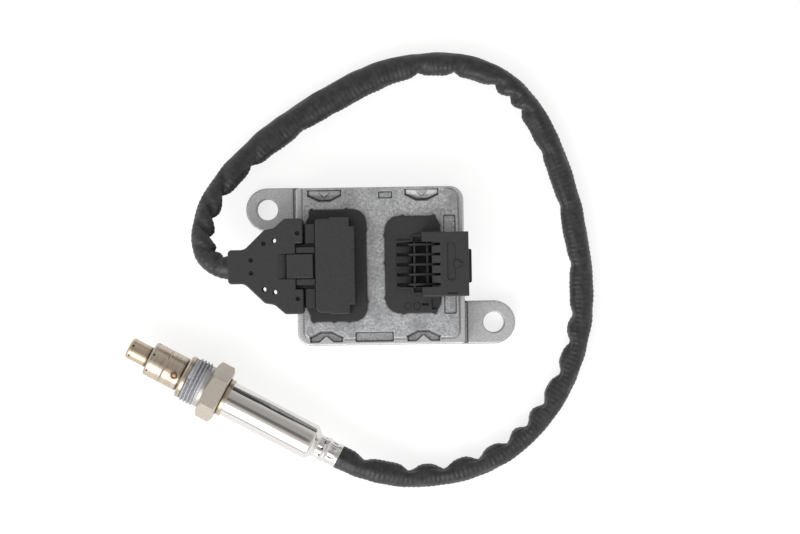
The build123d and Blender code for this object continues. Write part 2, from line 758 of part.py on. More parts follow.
def harness_plug():
    """Plug body: its nose in the header's socket, shoulders, two rails and the locking tongue."""
    nose = block(shoulder_x0, plug_front_x, harness_y - plug_half_w, harness_y + plug_half_w,
                 plug_bottom, plug_top)
    step = block(shoulder_x0 - 1, block_x0 - plastic_gap, harness_y - 30, harness_y + 30, shoulder_top, plug_top + 9)
    plug = nose - step
    plug += block(shoulder_x0, block_x0 - plastic_gap, harness_y - shoulder_half_w, harness_y + shoulder_half_w,
                  flange_z + plastic_gap, shoulder_top)
    plug += block(shoulder_x0 - cover_gap, shoulder_x0, harness_y - shoulder_half_w, harness_y + shoulder_half_w,
                  plug_bottom, cover_mid + 1.5)
    plug += block(plug_x0, shoulder_x0, harness_y - trough_half_w + plastic_gap,
                  harness_y + trough_half_w - plastic_gap, plug_bottom, trough_top)
    plug -= block(plug_x0 - 1, block_x0 - plastic_gap, harness_y - trough_half_w, harness_y + trough_half_w,
                  trough_top, plug_top + 9)
    for side in (-1, 1):
        near, far = sorted((harness_y + side * rail_y[0], harness_y + side * rail_y[1]))
        plug += block(plug_x0 + plastic_gap, block_x0 - plastic_gap, near, far, trough_top, rail_top)
    latch_top = cover_top
    plug += block(latch_x1 - latch_post_w, latch_x1, harness_y - latch_half_w + 0.8,
                  harness_y + latch_half_w - 0.8, trough_top, latch_top - latch_t)
    tongue = block(latch_x0, latch_x1, harness_y - latch_half_w, harness_y + latch_half_w,
                   latch_top - latch_t, latch_top)
    plug += fillet(top_edges(tongue, latch_top), 0.3)
    chamber = terminal_w / 2 + metal_gap
    for y, z in terminal_places():
        plug -= block(plug_x0 - 1, plug_front_x - 0.8, y - chamber, y + chamber, z - chamber, z + chamber)
        hole = pin_w / 2 + pin_hole_gap
        plug -= block(plug_front_x - 1, plug_front_x + 1, y - hole, y + hole, z - hole, z + hole)
    return plug


def plug_terminals():
    """Box terminals, each open at its front for a pin."""
    terminals = []
    half = terminal_w / 2
    for y, z in terminal_places():
        box = block(terminal_x0, plug_front_x - 0.9, y - half, y + half, z - half, z + half)
        hole = terminal_hole / 2
        box -= block(plug_front_x - 9, plug_front_x, y - hole, y + hole, z - hole, z + hole)
        terminals.append(box)
    return terminals


# Plug cover

cable_end_x = cover_end_x + cable_grip


def cover_rear(inset):
    """Corners of the cover's rear half in plan, drawn in by inset, on one side."""
    wide = cover_y + cover_half_w - inset
    round_r = 1.6 if inset == 0 else 0
    return [
        (cover_end_x + inset, cover_y + neck_half_w - inset, round_r),
        (-55.9, cover_y + neck_half_w - inset, 4.0), (-47.6 + inset / 2, cover_y + 15.1 - inset, 1.5),
        (-43.6, cover_y + 15.8 - inset, 4.0), (-39.2 + inset / 2, wide, 1.5)]


def cover_outline():
    """The cover in plan: two arms reach forward beside the plug."""
    front = shoulder_x0 - cover_gap
    half = cover_rear(0) + [
        (front, cover_y + cover_half_w, 1.0), (front, cover_y + trough_half_w, 0.8),
        (plug_x0, cover_y + trough_half_w, 0)]
    return outline(half + mirrored_y(half, cover_y))


def hollow_outline():
    """The space inside the cover in plan, open to the plug at the front of both arms and between them."""
    arm = cover_y + trough_half_w + cover_wall
    half = cover_rear(cover_wall) + [
        (shoulder_x0 + 1, cover_y + inner_half_w, 0), (shoulder_x0 + 1, arm, 0), (plug_x0 - cover_wall, arm, 0),
        (plug_x0 - cover_wall, cover_y + trough_half_w, 0), (plug_x0 + 1, cover_y + trough_half_w, 0)]
    return outline(half + mirrored_y(half, cover_y))


through_holes = [(-43.6, 10.7), (-47.9, -9.35), (-43.5, -10.55)]
blind_holes = [(-33.9, 13.6), (-47.8, 9.55), (-53.1, 2.75), (-53.1, -2.55), (-34.0, -13.35)]


def cover_shell(z_face, z_split, holes):
    """One half of the plug cover, from its outer face to the split plane."""
    z0, z1 = sorted((z_face, z_split))
    shell = upright(cover_outline(), z0, z1)
    shell = fillet(top_edges(shell, z_face), cover_round)
    floor = z_face + math.copysign(cover_wall, z_split - z_face)
    c0, c1 = sorted((floor, z_split))
    hollow = upright(hollow_outline(), c0, c1)
    shell -= hollow - block(cover_end_x - 1, cable_end_x + 2, cover_y - 20, cover_y + 20, c0 - 1, c1 + 1)
    shell -= along_x(cover_end_x - 1, cable_end_x, cover_y, cover_mid, cable_r + metal_gap)
    shell -= along_x(cable_end_x - 1, cable_end_x + 3, cover_y, cover_mid, cable_r - 1.0)
    for x, y in holes:
        shell -= rod(x, cover_y + y, z0 - 1, z1 + 1, cover_hole_r)
    return shell


def along_x(x0, x1, y, z, radius):
    """Cylinder along X."""
    return Pos(x0, y, z) * Rot(0, 90, 0) * Cylinder(radius, x1 - x0, align=(Align.CENTER, Align.CENTER, Align.MIN))


def upper_cover():
    """Upper shell, with the recess under the locking tongue and the ramp behind it."""
    shell = cover_shell(cover_top, cover_mid, through_holes)
    for x, y in blind_holes:
        shell -= rod(x, cover_y + y, cover_top - blind_hole_depth, cover_top + 1, cover_hole_r)
    half = latch_half_w + plastic_gap
    recess_z = cover_top - latch_t - plastic_gap
    pad = block(ramp_x0 - 1.0, plug_x0, cover_y - half - 1.0, cover_y + half + 1.0,
                recess_z - 1.2, recess_z + 1.0)
    shell += pad
    return shell - across([(ramp_x0, cover_top + 0.01, 0), (latch_x0, recess_z, 0), (plug_x0 + 1, recess_z, 0),
                           (plug_x0 + 1, cover_top + 0.01, 0)], cover_y - half, cover_y + half)


def lower_cover():
    """Lower shell, with a tongue that reaches forward under the plug."""
    tongue = block(plug_x0 - 0.5, shoulder_x0 - cover_gap, cover_y - trough_half_w - 0.5,
                   cover_y + trough_half_w + 0.5, cover_bottom, cover_bottom + cover_wall)
    return cover_shell(cover_bottom, cover_mid, through_holes) + tongue


def plug_wires():
    """Wires from the plug terminals to the cable's end, closing up towards the neck."""
    ring = cable_r - 1.0 - 2 * wire_r
    wires = []
    for y, z in terminal_places():
        order = harness_pin_places().index(y)
        side = -1 if z == harness_pin_rows[0] else 1
        turn = math.radians(180 - side * 45 * (order + 0.5))
        end_y = cover_y + ring * math.cos(turn)
        end_z = cover_mid + ring * math.sin(turn)
        path = FilletPolyline((terminal_x0, y, z), (terminal_x0 - 3, y, z), (cable_end_x + 3.5, end_y, end_z),
                              (cable_end_x, end_y, end_z), radius=5)
        wires.append(sweep(Plane(path @ 0, z_dir=path % 0) * Circle(wire_r), path=path))
    return wires


# Probe

probe_h = nut_across_flats / 2
turn_angle = math.radians(probe_angle)
probe_axis = (math.cos(turn_angle), math.sin(turn_angle), 0)
probe_frame = Plane(origin=(probe_tip[0], probe_tip[1], probe_h), x_dir=(0, 0, 1), z_dir=probe_axis)

nut_z0 = collar_z1 + end_play
relief_z0 = nut_z0 + thread_length
hex_z0 = relief_z0 + relief_length
nut_z1 = hex_z0 + hex_length
rear_z0 = nut_z1 + end_play
sleeve_z0 = rear_z0 + rear_shoulder_t
crimp_z0 = sleeve_z0 + sleeve_length
probe_z1 = crimp_z0 + crimp_length


def radial_holes(count, start, z, radius, reach):
    """Cutters for small round holes spaced round a tube. start is the first one's angle in degrees."""
    hole = Pos(0, 0, z) * Rot(0, 90, 0) * Cylinder(radius, reach, align=(Align.CENTER, Align.CENTER, Align.MIN))
    return [Rot(0, 0, start + i * 360 / count) * hole for i in range(count)]


def inner_tube():
    """Inner protection tube: a drawn cup with six holes near its rounded end and a flange inside the body."""
    r = tip_tube_r
    t = tip_tube_t
    rear = outer_tube_z1 - 2.0
    tube = turned([
        (1.5, 0, 0), (r, 0, 1.0), (r, rear - t, 0), (outer_tube_r - outer_tube_t - metal_gap, rear - t, 0),
        (outer_tube_r - outer_tube_t - metal_gap, rear, 0), (r - t, rear, 0), (r - t, t, 0.6), (1.5, t, 0)])
    for hole in radial_holes(tube_holes, -21, 1.6, tube_hole_r, r + 1):
        tube -= hole
    return tube


def outer_tube():
    """Outer protection tube: a cup with six holes near its front, a rolled groove and a weld spot."""
    r = outer_tube_r
    t = outer_tube_t
    groove = (outer_tube_z0 + outer_tube_z1) / 2
    tube = turned([
        (tip_tube_r + metal_gap, outer_tube_z0, 0), (r, outer_tube_z0, 0.9), (r, groove - 0.4, 0), (r - 0.2, groove, 0),
        (r, groove + 0.4, 0), (r, outer_tube_z1, 0), (r - t, outer_tube_z1, 0), (r - t, outer_tube_z0 + t, 0.4),
        (tip_tube_r + metal_gap, outer_tube_z0 + t, 0)])
    for hole in radial_holes(tube_holes, -20, outer_tube_z0 + 1.5, tube_hole_r, r + 1):
        tube -= hole
    spot = Pos(0, 0, outer_tube_z1 - 2.5) * Rot(0, 90, 0) * Pos(0, 0, r - 0.25) * Cylinder(
        0.45, 1, align=(Align.CENTER, Align.CENTER, Align.MIN))
    return tube - Rot(0, 0, 19) * spot


def probe_body():
    """Turned steel body: front spigot, sealing collar, stem for the nut, rear shoulder and rear spigot."""
    spigot = outer_tube_r - outer_tube_t - metal_gap
    rear_spigot = sleeve_r - sleeve_t - metal_gap
    front = outer_tube_z1 - 2.0
    return turned([
        (bore_r, front, 0), (spigot, front, 0), (spigot, collar_z0, 0), (collar_r - 0.6, collar_z0, 0),
        (collar_r, collar_z0 + 0.6, 0), (collar_r, collar_z1, 0.2), (stem_r, collar_z1, 0),
        (stem_r, rear_z0, 0), (rear_shoulder_r, rear_z0, 0.3), (rear_shoulder_r, sleeve_z0, 0.3),
        (rear_spigot, sleeve_z0, 0), (rear_spigot, sleeve_z0 + 4, 0.4), (bore_r, sleeve_z0 + 4, 0)])


def union_nut():
    """Union nut: the screwed nose, a relief and a chamfered hexagon, bored to spin on the stem."""
    nut_bore = stem_r + spin_gap
    screwed = turned([
        (nut_bore, nut_z0, 0), (thread_r - 0.9, nut_z0, 0), (thread_r, nut_z0 + 0.9, 0), (thread_r, relief_z0, 0),
        (relief_r, relief_z0, 0), (relief_r, hex_z0, 0), (nut_bore, hex_z0, 0)])
    across_corners = nut_across_flats / math.cos(math.radians(30))
    flat_face_r = nut_across_flats / 2 - 0.2
    prism = extrude(Pos(0, 0, hex_z0) * RegularPolygon(
        nut_across_flats / 2, 6, major_radius=False, rotation=30), amount=hex_length)
    limits = turned([
        (nut_bore, hex_z0, 0), (flat_face_r, hex_z0, 0), (across_corners / 2 + 0.2, hex_z0 + hex_chamfer, 0),
        (across_corners / 2 + 0.2, nut_z1 - hex_chamfer, 0), (flat_face_r, nut_z1, 0), (nut_bore, nut_z1, 0)])
    return screwed + (prism & limits)


def sleeve_corners(r, waist, bulge, lip):
    """Half section of the rear sleeve's outside or inside, from its front to its cable end."""
    z = crimp_z0
    return [(r, sleeve_z0, 0), (r, z, 1.2), (waist, z + 2.0, 1.0), (waist, z + 3.6, 1.0),
            (bulge, z + 5.0, 0.8), (bulge, z + 6.6, 0.8), (waist, z + 8.0, 1.0), (waist, z + 9.6, 1.0),
            (lip, probe_z1 - 0.8, 0.3), (lip, probe_z1, 0)]


def rear_sleeve():
    """Polished sleeve, crimped in two rows over the grommet at its cable end."""
    t = sleeve_t
    outside = sleeve_corners(sleeve_r, crimp_waist_r, crimp_bulge_r, crimp_lip_r)
    inside = sleeve_corners(sleeve_r - t, crimp_waist_r - t, crimp_bulge_r - t, crimp_lip_r - t)
    return turned(outside + list(reversed(inside)))


def grommet():
    """Rubber grommet in the crimped neck, with a hole for each wire."""
    t = sleeve_t + 0.03
    section = sleeve_corners(sleeve_r - t, crimp_waist_r - t, crimp_bulge_r - t, crimp_lip_r - t)[1:]
    front = crimp_z0 - 4
    plug = turned([(0, front, 0), (sleeve_r - t, front, 0)] + section + [(0, probe_z1, 0)])
    for x, y in probe_wire_places():
        plug -= rod(x, y, front - 1, probe_z1 + 1, wire_r + 0.02)
    return plug


def probe_wire_places():
    """(x, y) of each probe wire round the probe's axis."""
    ring = crimp_waist_r - sleeve_t - 2 * wire_r
    return [(ring * math.cos(math.radians(i * 45)), ring * math.sin(math.radians(i * 45))) for i in range(8)]


holder_z0 = sleeve_z0 + 9
holder_z1 = element_z1 + 2


def probe_wires():
    """Wires from the contact holder through the grommet to the cable's end."""
    return [rod(x, y, holder_z1, probe_z1, wire_r) for x, y in probe_wire_places()]


def element_slot(gap):
    """The sensing element's flat shape, grown by gap."""
    return block(-element_w / 2 - gap, element_w / 2 + gap, -element_t / 2 - gap, element_t / 2 + gap,
                 element_z0, element_z1)


def sensing_element():
    """Flat ceramic strip that reaches from the tip tube to the contact holder."""
    return element_slot(0)


def packing(z0, z1):
    """Round piece in the body's bore, slotted for the sensing element."""
    return rod(0, 0, z0, z1, bore_r - 0.02) - element_slot(0.02)


body_front = outer_tube_z1 - 2.0
body_rear = sleeve_z0 + 4
talc_z0 = body_front + 9
talc_z1 = talc_z0 + 5


def contact_holder():
    """Ceramic holder that clamps the contacts on the element's rear end, seated in the sleeve."""
    holder = rod(0, 0, holder_z0, holder_z1, stem_r - 0.6)
    holder += rod(0, 0, holder_z0 + 3, holder_z0 + 7, sleeve_r - sleeve_t - metal_gap)
    holder -= block(-3.0, 3.0, -element_t / 2 - contact_t - 0.02, element_t / 2 + contact_t + 0.02,
                    holder_z0, element_z1 + 0.5)
    for x, y in probe_wire_places():
        holder -= rod(x, y, element_z1 + 0.5, holder_z1, wire_r + 0.02)
    return holder


contact_t = 0.4


def contact_springs():
    """Flat contact springs on both faces of the element."""
    strips = []
    for side in (-1, 1):
        for i in range(4):
            x = (i - 1.5) * 1.05
            y0, y1 = sorted((side * element_t / 2, side * (element_t / 2 + contact_t)))
            strips.append(block(x - 0.35, x + 0.35, y0, y1, element_z1 - 10, element_z1 - 0.5))
    return strips


# Cable

floor_z = cable_r + cable_floor_gap


def probe_point(z):
    """Place in plan of the point on the probe's axis at z from the tip."""
    return probe_tip[0] + z * probe_axis[0], probe_tip[1] + z * probe_axis[1]


cable_points = [
    (cable_end_x, cover_y, cover_mid),
    (cable_end_x - cable_straight, cover_y, cover_mid),
    (-77.1, 11.0, 21.6),
    (-71.3, 28.3, 13.0),
    (-59.6, 42.9, 7.2),
    (-42.3, 56.9, floor_z),
    (-19.7, 71.2, floor_z),
    (5.1, 83.1, floor_z),
    (29.9, 85.8, floor_z),
    (51.0, 79.7, floor_z),
    (65.6, 64.3, floor_z),
    (75.2, 42.7, floor_z),
    (81.7, 18.9, floor_z),
    (85.0, -7.0, floor_z),
    (83.9, -28.6, floor_z),
    (76.0, -51.7, floor_z),
    (61.2, -72.2, floor_z),
    (40.9, -85.0, floor_z),
    (15.2, -89.8, floor_z),
    (probe_point(probe_z1 + cable_straight)[0], probe_point(probe_z1 + cable_straight)[1], probe_h),
    (probe_point(probe_z1)[0], probe_point(probe_z1)[1], probe_h)]


def cable_radii(points):
    """Arc radius at each inner point: 0.45 of the shorter run, divided by the tangent of half the turn."""
    radii = []
    for before, point, after in zip(points, points[1:], points[2:]):
        run_in = Vector(*point) - Vector(*before)
        run_out = Vector(*after) - Vector(*point)
        half_turn = math.radians(run_in.get_angle(run_out) / 2)
        radii.append(0.45 * min(run_in.length, run_out.length) / math.tan(half_turn))
    return radii


def cable():
    """The sleeved cable, from the plug cover's neck to the probe's crimped end."""
    radii = cable_radii(cable_points)
    path = FilletPolyline(*cable_points, radius=radii)
    tube = sweep(Plane(path @ 0, z_dir=path % 0) * Circle(cable_r), path=path)
    section = math.pi * cable_r ** 2
    print("cable radii:", " ".join("%.0f" % r for r in radii))
    print("cable length %.1f, volume over section times length %.4f" % (
        path.length, tube.volume / (section * path.length)))
    return tube


# The whole part, one file for each node

vehicle_pins_solid = vehicle_pin_set()
harness_pins_solid = harness_pin_set()

parts = {
    "housing": housing(),
    "base_plate": base_plate(),
    "base_seal": base_seal(),
    "base_screws": base_screws(),
    "circuit_board": board(),
    "board_screws": board_screws(),
    "processor": processor(),
    "driver_chips": driver_chips(),
    "heater_transistor": heater_transistor(),
    "choke": choke(),
    "capacitors": capacitors(),
    "chip_resistors": chip_resistors(),
    "vehicle_header": vehicle_header(vehicle_pins_solid),
    "vehicle_header_seal": seal_ring(vehicle_foot, 0),
    "vehicle_pins": vehicle_pins_solid,
    "harness_header": harness_header(harness_pins_solid),
    "harness_header_seal": seal_ring(harness_foot, 0),
    "harness_pins": harness_pins_solid,
    "harness_plug": harness_plug(),
    "plug_terminals": plug_terminals(),
    "upper_cover": upper_cover(),
    "lower_cover": lower_cover(),
    "plug_wires": plug_wires(),
    "cable": cable(),
}

probe_parts = {
    "inner_protection_tube": inner_tube(),
    "outer_protection_tube": outer_tube(),
    "probe_body": probe_body(),
    "union_nut": union_nut(),
    "rear_sleeve": rear_sleeve(),
    "grommet": grommet(),
    "probe_wires": probe_wires(),
    "sensing_element": sensing_element(),
    "front_insulator": packing(body_front, talc_z0),
    "talc_ring": packing(talc_z0, talc_z1),
    "middle_insulator": packing(talc_z1, body_rear),
    "contact_holder": contact_holder(),
    "contact_springs": contact_springs(),
}


def placed(shape):
    """A probe piece, or each piece of a set, moved onto the probe's axis."""
    if isinstance(shape, list):
        return [probe_frame * piece for piece in shape]
    return probe_frame * shape


for name, shape in probe_parts.items():
    parts[name] = placed(shape)

os.makedirs("parts", exist_ok=True)
for name, shape in parts.items():
    if isinstance(shape, list):
        shape = Compound(children=[solid for piece in shape for solid in piece.solids()])
    export_step(shape, "parts/" + name + ".step")
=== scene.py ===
import logging
import math
from dataclasses import dataclass
from enum import Enum

import bmesh
import bpy
from mathutils import Matrix, Vector, noise


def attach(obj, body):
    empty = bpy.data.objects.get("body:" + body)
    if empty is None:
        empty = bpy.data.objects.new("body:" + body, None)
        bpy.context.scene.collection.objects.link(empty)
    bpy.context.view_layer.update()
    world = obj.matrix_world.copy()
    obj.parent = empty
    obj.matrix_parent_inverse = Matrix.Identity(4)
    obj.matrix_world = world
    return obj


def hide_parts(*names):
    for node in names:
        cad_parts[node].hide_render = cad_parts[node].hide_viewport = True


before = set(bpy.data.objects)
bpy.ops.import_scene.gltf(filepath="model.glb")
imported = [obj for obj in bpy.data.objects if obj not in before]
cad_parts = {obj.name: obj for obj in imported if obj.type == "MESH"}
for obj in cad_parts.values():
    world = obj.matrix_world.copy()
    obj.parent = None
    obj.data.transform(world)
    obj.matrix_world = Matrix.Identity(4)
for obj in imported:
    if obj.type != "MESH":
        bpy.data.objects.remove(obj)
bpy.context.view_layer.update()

MM = 0.001
log = logging.getLogger("nitrogen_oxide_sensor")

Socket = bpy.types.NodeSocket
Colour = tuple[float, float, float, float]
Triple = tuple[float, float, float]
WHITE: Colour = (1.0, 1.0, 1.0, 1.0)


class Body(Enum):
    """The two bodies that pieces ride on."""

    SENSOR = "sensor"
    NUT = "nut"


class Frame(Enum):
    """The axes that a pattern follows."""

    UNIT = "control unit"
    PROBE = "probe"


def linear(code: str) -> Colour:
    """Gives a screen colour as linear light.

    Args:
        code: Colour as a hash sign and six hexadecimal digits.

    Returns:
        Red, green, blue and full opacity.
    """
    parts = [int(code[i:i + 2], 16) / 255 for i in (1, 3, 5)]
    red, green, blue = [c / 12.92 if c <= 0.04045 else ((c + 0.055) / 1.055) ** 2.4 for c in parts]
    return red, green, blue, 1.0


def add(tree: bpy.types.NodeTree, kind: str, settings: dict, links: dict) -> bpy.types.Node:
    """Adds one node.

    Args:
        tree: Node tree that gets the node.
        kind: The node's type.
        settings: Properties by name, and socket values by name or number.
        links: Output sockets by the input's name or number.

    Returns:
        The new node.
    """
    node = tree.nodes.new(kind)
    for key, value in settings.items():
        if isinstance(key, int) or key in node.inputs:
            node.inputs[key].default_value = value
        else:
            setattr(node, key, value)
    for key, source in links.items():
        tree.links.new(source, node.inputs[key])
    return node


def seen_by(tree: bpy.types.NodeTree, rays: tuple[str, ...]) -> Socket:
    """Adds a mask that is 1 for some kinds of light path.

    Args:
        tree: Node tree that gets the nodes.
        rays: The Light Path node's outputs that count.

    Returns:
        The mask.
    """
    path = add(tree, "ShaderNodeLightPath", {}, {})
    mask = path.outputs[rays[0]]
    for ray in rays[1:]:
        either = add(tree, "ShaderNodeMath", {"operation": "MAXIMUM"}, {0: mask, 1: path.outputs[ray]})
        mask = either.outputs[0]
    return mask


@dataclass(frozen=True)
class ProbeAxes:
    """The probe's own axes: X up, Y to its right-hand side, Z from its tip to the cable.

    Attributes:
        tip: Point on the axis at the tip, in mm.
        turn: Direction of the axis in plan, in degrees.
    """

    tip: Triple = (-106.0, -32.4, 11.0)
    turn: float = -28.53

    def rotation(self) -> Matrix:
        """Gives the turn from the probe's axes to the shared ones."""
        c, s = math.cos(math.radians(self.turn)), math.sin(math.radians(self.turn))
        return Matrix(((0, s, c), (0, -c, s), (1, 0, 0)))

    def place(self) -> Matrix:
        """Gives the move from the probe's axes in mm to the shared ones in m."""
        return Matrix.Translation(Vector(self.tip) * MM) @ self.rotation().to_4x4() @ Matrix.Scale(MM, 4)


PROBE = ProbeAxes()


class Surface:
    """One material while its nodes are added."""

    def __init__(self, name: str, axes: Frame) -> None:
        """Starts a material.

        Args:
            name: What the real material is.
            axes: The axes that its pattern follows.
        """
        self.material = bpy.data.materials.new(name)
        self.material.use_nodes = True
        self.tree = self.material.node_tree
        self.shader = self.tree.nodes["Principled BSDF"]
        self.place = self.add("ShaderNodeTexCoord", {}, {}).outputs["Object"]
        if axes is Frame.PROBE:
            settings = {"vector_type": "TEXTURE", "Location": Vector(PROBE.tip) * MM,
                        "Rotation": PROBE.rotation().to_euler()}
            self.place = self.add("ShaderNodeMapping", settings, {"Vector": self.place}).outputs["Vector"]

    def add(self, kind: str, settings: dict, links: dict) -> bpy.types.Node:
        """Adds a node to this material, as add does."""
        return add(self.tree, kind, settings, links)

    def grain(self, size: float, detail: float = 3.0, stretch: Triple = (1.0, 1.0, 1.0)) -> Socket:
        """Adds a cloudy pattern.

        Args:
            size: Size of its patches, in mm.
            detail: How many finer layers it has.
            stretch: How many times longer the patches are along each axis.

        Returns:
            A value from about 0.2 to 0.8.
        """
        scale = [1 / (size * MM * s) for s in stretch]
        settings = {"vector_type": "POINT", "Scale": scale}
        scaled = self.add("ShaderNodeMapping", settings, {"Vector": self.place})
        cloud = self.add("ShaderNodeTexNoise", {"Scale": 1.0, "Detail": detail, "Roughness": 0.6},
                         {"Vector": scaled.outputs["Vector"]})
        return cloud.outputs["Fac"]

    def colours(self, source: Socket, low: str, high: str, start: float = 0.3, end: float = 0.7) -> Socket:
        """Turns a value into a colour between two.

        Args:
            source: The value.
            low: Colour at and below start.
            high: Colour at and above end.
            start: Value that gives the low colour.
            end: Value that gives the high colour.

        Returns:
            The colour.
        """
        ramp = self.add("ShaderNodeValToRGB", {}, {"Fac": source})
        for stop, place, code in zip(ramp.color_ramp.elements, (start, end), (low, high)):
            stop.position = place
            stop.color = linear(code)
        return ramp.outputs["Color"]

    def levels(self, source: Socket, low: float, high: float, start: float = 0.3,
               end: float = 0.7) -> Socket:
        """Turns a value into one from low, at start, to high, at end."""
        settings = {"interpolation_type": "SMOOTHSTEP", "From Min": start, "From Max": end, "To Min": low,
                    "To Max": high}
        return self.add("ShaderNodeMapRange", settings, {"Value": source}).outputs["Result"]

    def mix(self, mask: Socket, under: Socket, over: Socket) -> Socket:
        """Covers one colour with another where the mask is 1."""
        node = self.add("ShaderNodeMix", {"data_type": "RGBA"}, {0: mask, 6: under, 7: over})
        return node.outputs[2]

    def maths(self, operation: str, first: Socket, second: Socket | float) -> Socket:
        """Joins two values by one operation of the Math node."""
        if isinstance(second, float):
            return self.add("ShaderNodeMath", {"operation": operation, 1: second}, {0: first}).outputs[0]
        return self.add("ShaderNodeMath", {"operation": operation}, {0: first, 1: second}).outputs[0]

    def near(self, point: Vector, inner: float, outer: float) -> Socket:
        """Adds a round mask.

        Args:
            point: Its centre in the pattern's axes, in mm.
            inner: Radius within which it is 1, in mm.
            outer: Radius beyond which it is 0, in mm.

        Returns:
            The mask.
        """
        gap = self.add("ShaderNodeVectorMath", {"operation": "DISTANCE", 1: point * MM}, {0: self.place})
        return self.levels(gap.outputs["Value"], 1.0, 0.0, inner * MM, outer * MM)

    def part(self, axis: int) -> Socket:
        """Gives the place along one of the pattern's axes, in m."""
        return self.add("ShaderNodeSeparateXYZ", {}, {"Vector": self.place}).outputs[axis]

    def band(self, axis: int, low: float, high: float, soft: float) -> Socket:
        """Adds a mask that is 1 between two heights along an axis.

        Args:
            axis: 0, 1 or 2 for X, Y or Z of the pattern's axes.
            low: Where it starts, in mm.
            high: Where it ends, in mm.
            soft: Width of its edges, in mm.

        Returns:
            The mask.
        """
        place = self.part(axis)
        rise = self.levels(place, 0.0, 1.0, (low - soft) * MM, low * MM)
        fall = self.levels(place, 1.0, 0.0, high * MM, (high + soft) * MM)
        return self.maths("MULTIPLY", rise, fall)

    def occluded(self, reach: float) -> Socket:
        """Adds a mask of the corners and hollows where shade falls, found by ambient occlusion, for painted
        shade.

        Args:
            reach: How near another face has to be, in mm.

        Returns:
            The mask, 1 in a deep corner and 0 on an open face.
        """
        shade = self.add("ShaderNodeAmbientOcclusion", {"samples": 6, "Distance": reach * MM}, {})
        return self.levels(shade.outputs["AO"], 1.0, 0.0, 0.7, 0.985)

    def steep(self) -> Socket:
        """Adds a mask that is 1 on upright faces and 0 on level ones."""
        facing = self.add("ShaderNodeNewGeometry", {}, {}).outputs["True Normal"]
        upward = self.add("ShaderNodeSeparateXYZ", {}, {"Vector": facing}).outputs[2]
        return self.levels(self.maths("ABSOLUTE", upward, 0.0), 1.0, 0.0, 0.3, 0.85)

    def edges(self, reach: float) -> Socket:
        """Adds a mask of the outer edges, where a highlight is painted.

        Args:
            reach: How far it spreads from an edge, in mm.

        Returns:
            The mask, 1 on an edge and 0 away from it.
        """
        settings = {"samples": 6, "inside": True, "Distance": reach * MM}
        shade = self.add("ShaderNodeAmbientOcclusion", settings, {})
        return self.levels(shade.outputs["AO"], 1.0, 0.0, 0.5, 0.9)

    def with_corner_shade(self, unshaded: Socket, share: float, reach: float) -> Socket:
        """Paints shade into the corners and hollows of a colour.

        Args:
            unshaded: The colour.
            share: How dark the painted shade makes a corner, from 0 to 1.
            reach: How far it spreads from a corner, in mm.

        Returns:
            The colour with painted shade.
        """
        # Painted shade: a grainy near-black tone laid where ambient occlusion finds corners and hollows.
        mask = self.maths("MULTIPLY", self.occluded(reach), share)
        return self.mix(mask, unshaded, self.colours(self.grain(0.8), "#1B1A1A", "#2B2928"))

    def relief(self, source: Socket, height: float, rounded: float) -> None:
        """Gives the surface its fine relief and softened edges.

        Args:
            source: Height pattern.
            height: The pattern's height, in mm.
            rounded: Radius of the softened edges, in mm.
        """
        links = {"Height": source}
        if rounded:
            softened = self.add("ShaderNodeBevel", {"samples": 4, "Radius": rounded * MM}, {})
            links["Normal"] = softened.outputs["Normal"]
        bump = self.add("ShaderNodeBump", {"Strength": 1.0, "Distance": height * MM}, links)
        self.tree.links.new(bump.outputs["Normal"], self.shader.inputs["Normal"])

    def set(self, name: str, value: float | Socket) -> None:
        """Sets or links one of the shader's sockets."""
        if isinstance(value, Socket):
            self.tree.links.new(value, self.shader.inputs[name])
        else:
            self.shader.inputs[name].default_value = value


@dataclass(frozen=True)
class Finish:
    """A finish with a cloudy tone and a fine relief.

    Attributes:
        name: What the real material is.
        dark: Its darker tone.
        light: Its lighter tone.
        metal: 1 for bare metal, 0 otherwise.
        gloss: Lowest and highest roughness.
        patch: Size of the tone's patches, in mm.
        grit: Size of the relief's grains, in mm.
        height: The relief's height, in mm.
        stretch: How many times longer patches and grains are along each axis.
        rounded: Radius of the softened edges, in mm.
        axes: The axes that the pattern follows.
        corner_shade: How dark the painted shade makes a corner, from 0 to 1.
        corner_shade_w: How far the painted shade spreads from a corner, in mm.
    """

    name: str
    dark: str
    light: str
    metal: float
    gloss: tuple[float, float]
    patch: float
    grit: float
    height: float
    stretch: Triple = (1.0, 1.0, 1.0)
    rounded: float = 0.0
    axes: Frame = Frame.UNIT
    corner_shade: float = 0.0
    corner_shade_w: float = 1.0

    def colour(self, surface: Surface) -> Socket:
        """Gives the finish's colour."""
        return surface.colours(surface.grain(self.patch, 4.0, self.stretch), self.dark, self.light)

    def base(self, surface: Surface) -> Socket:
        """Gives the colour with painted shade in its corners."""
        unshaded = self.colour(surface)
        # Painted shade in corners and hollows, where the finish asks for it.
        return surface.with_corner_shade(unshaded, self.corner_shade, self.corner_shade_w) if self.corner_shade else unshaded

    def metalness(self, surface: Surface) -> float | Socket:
        """Gives how metallic the finish is."""
        return self.metal

    def roughness(self, surface: Surface) -> Socket:
        """Gives the finish's roughness."""
        return surface.levels(surface.grain(self.patch * 1.7, 3.0, self.stretch), *self.gloss)

    def height_pattern(self, surface: Surface) -> Socket:
        """Gives the relief's pattern."""
        return surface.grain(self.grit, 3.0, self.stretch)

    def material(self) -> bpy.types.Material:
        """Makes the material."""
        surface = Surface(self.name, self.axes)
        surface.set("Metallic", self.metalness(surface))
        surface.set("Base Color", self.base(surface))
        surface.set("Roughness", self.roughness(surface))
        surface.relief(self.height_pattern(surface), self.height, self.rounded)
        return surface.material


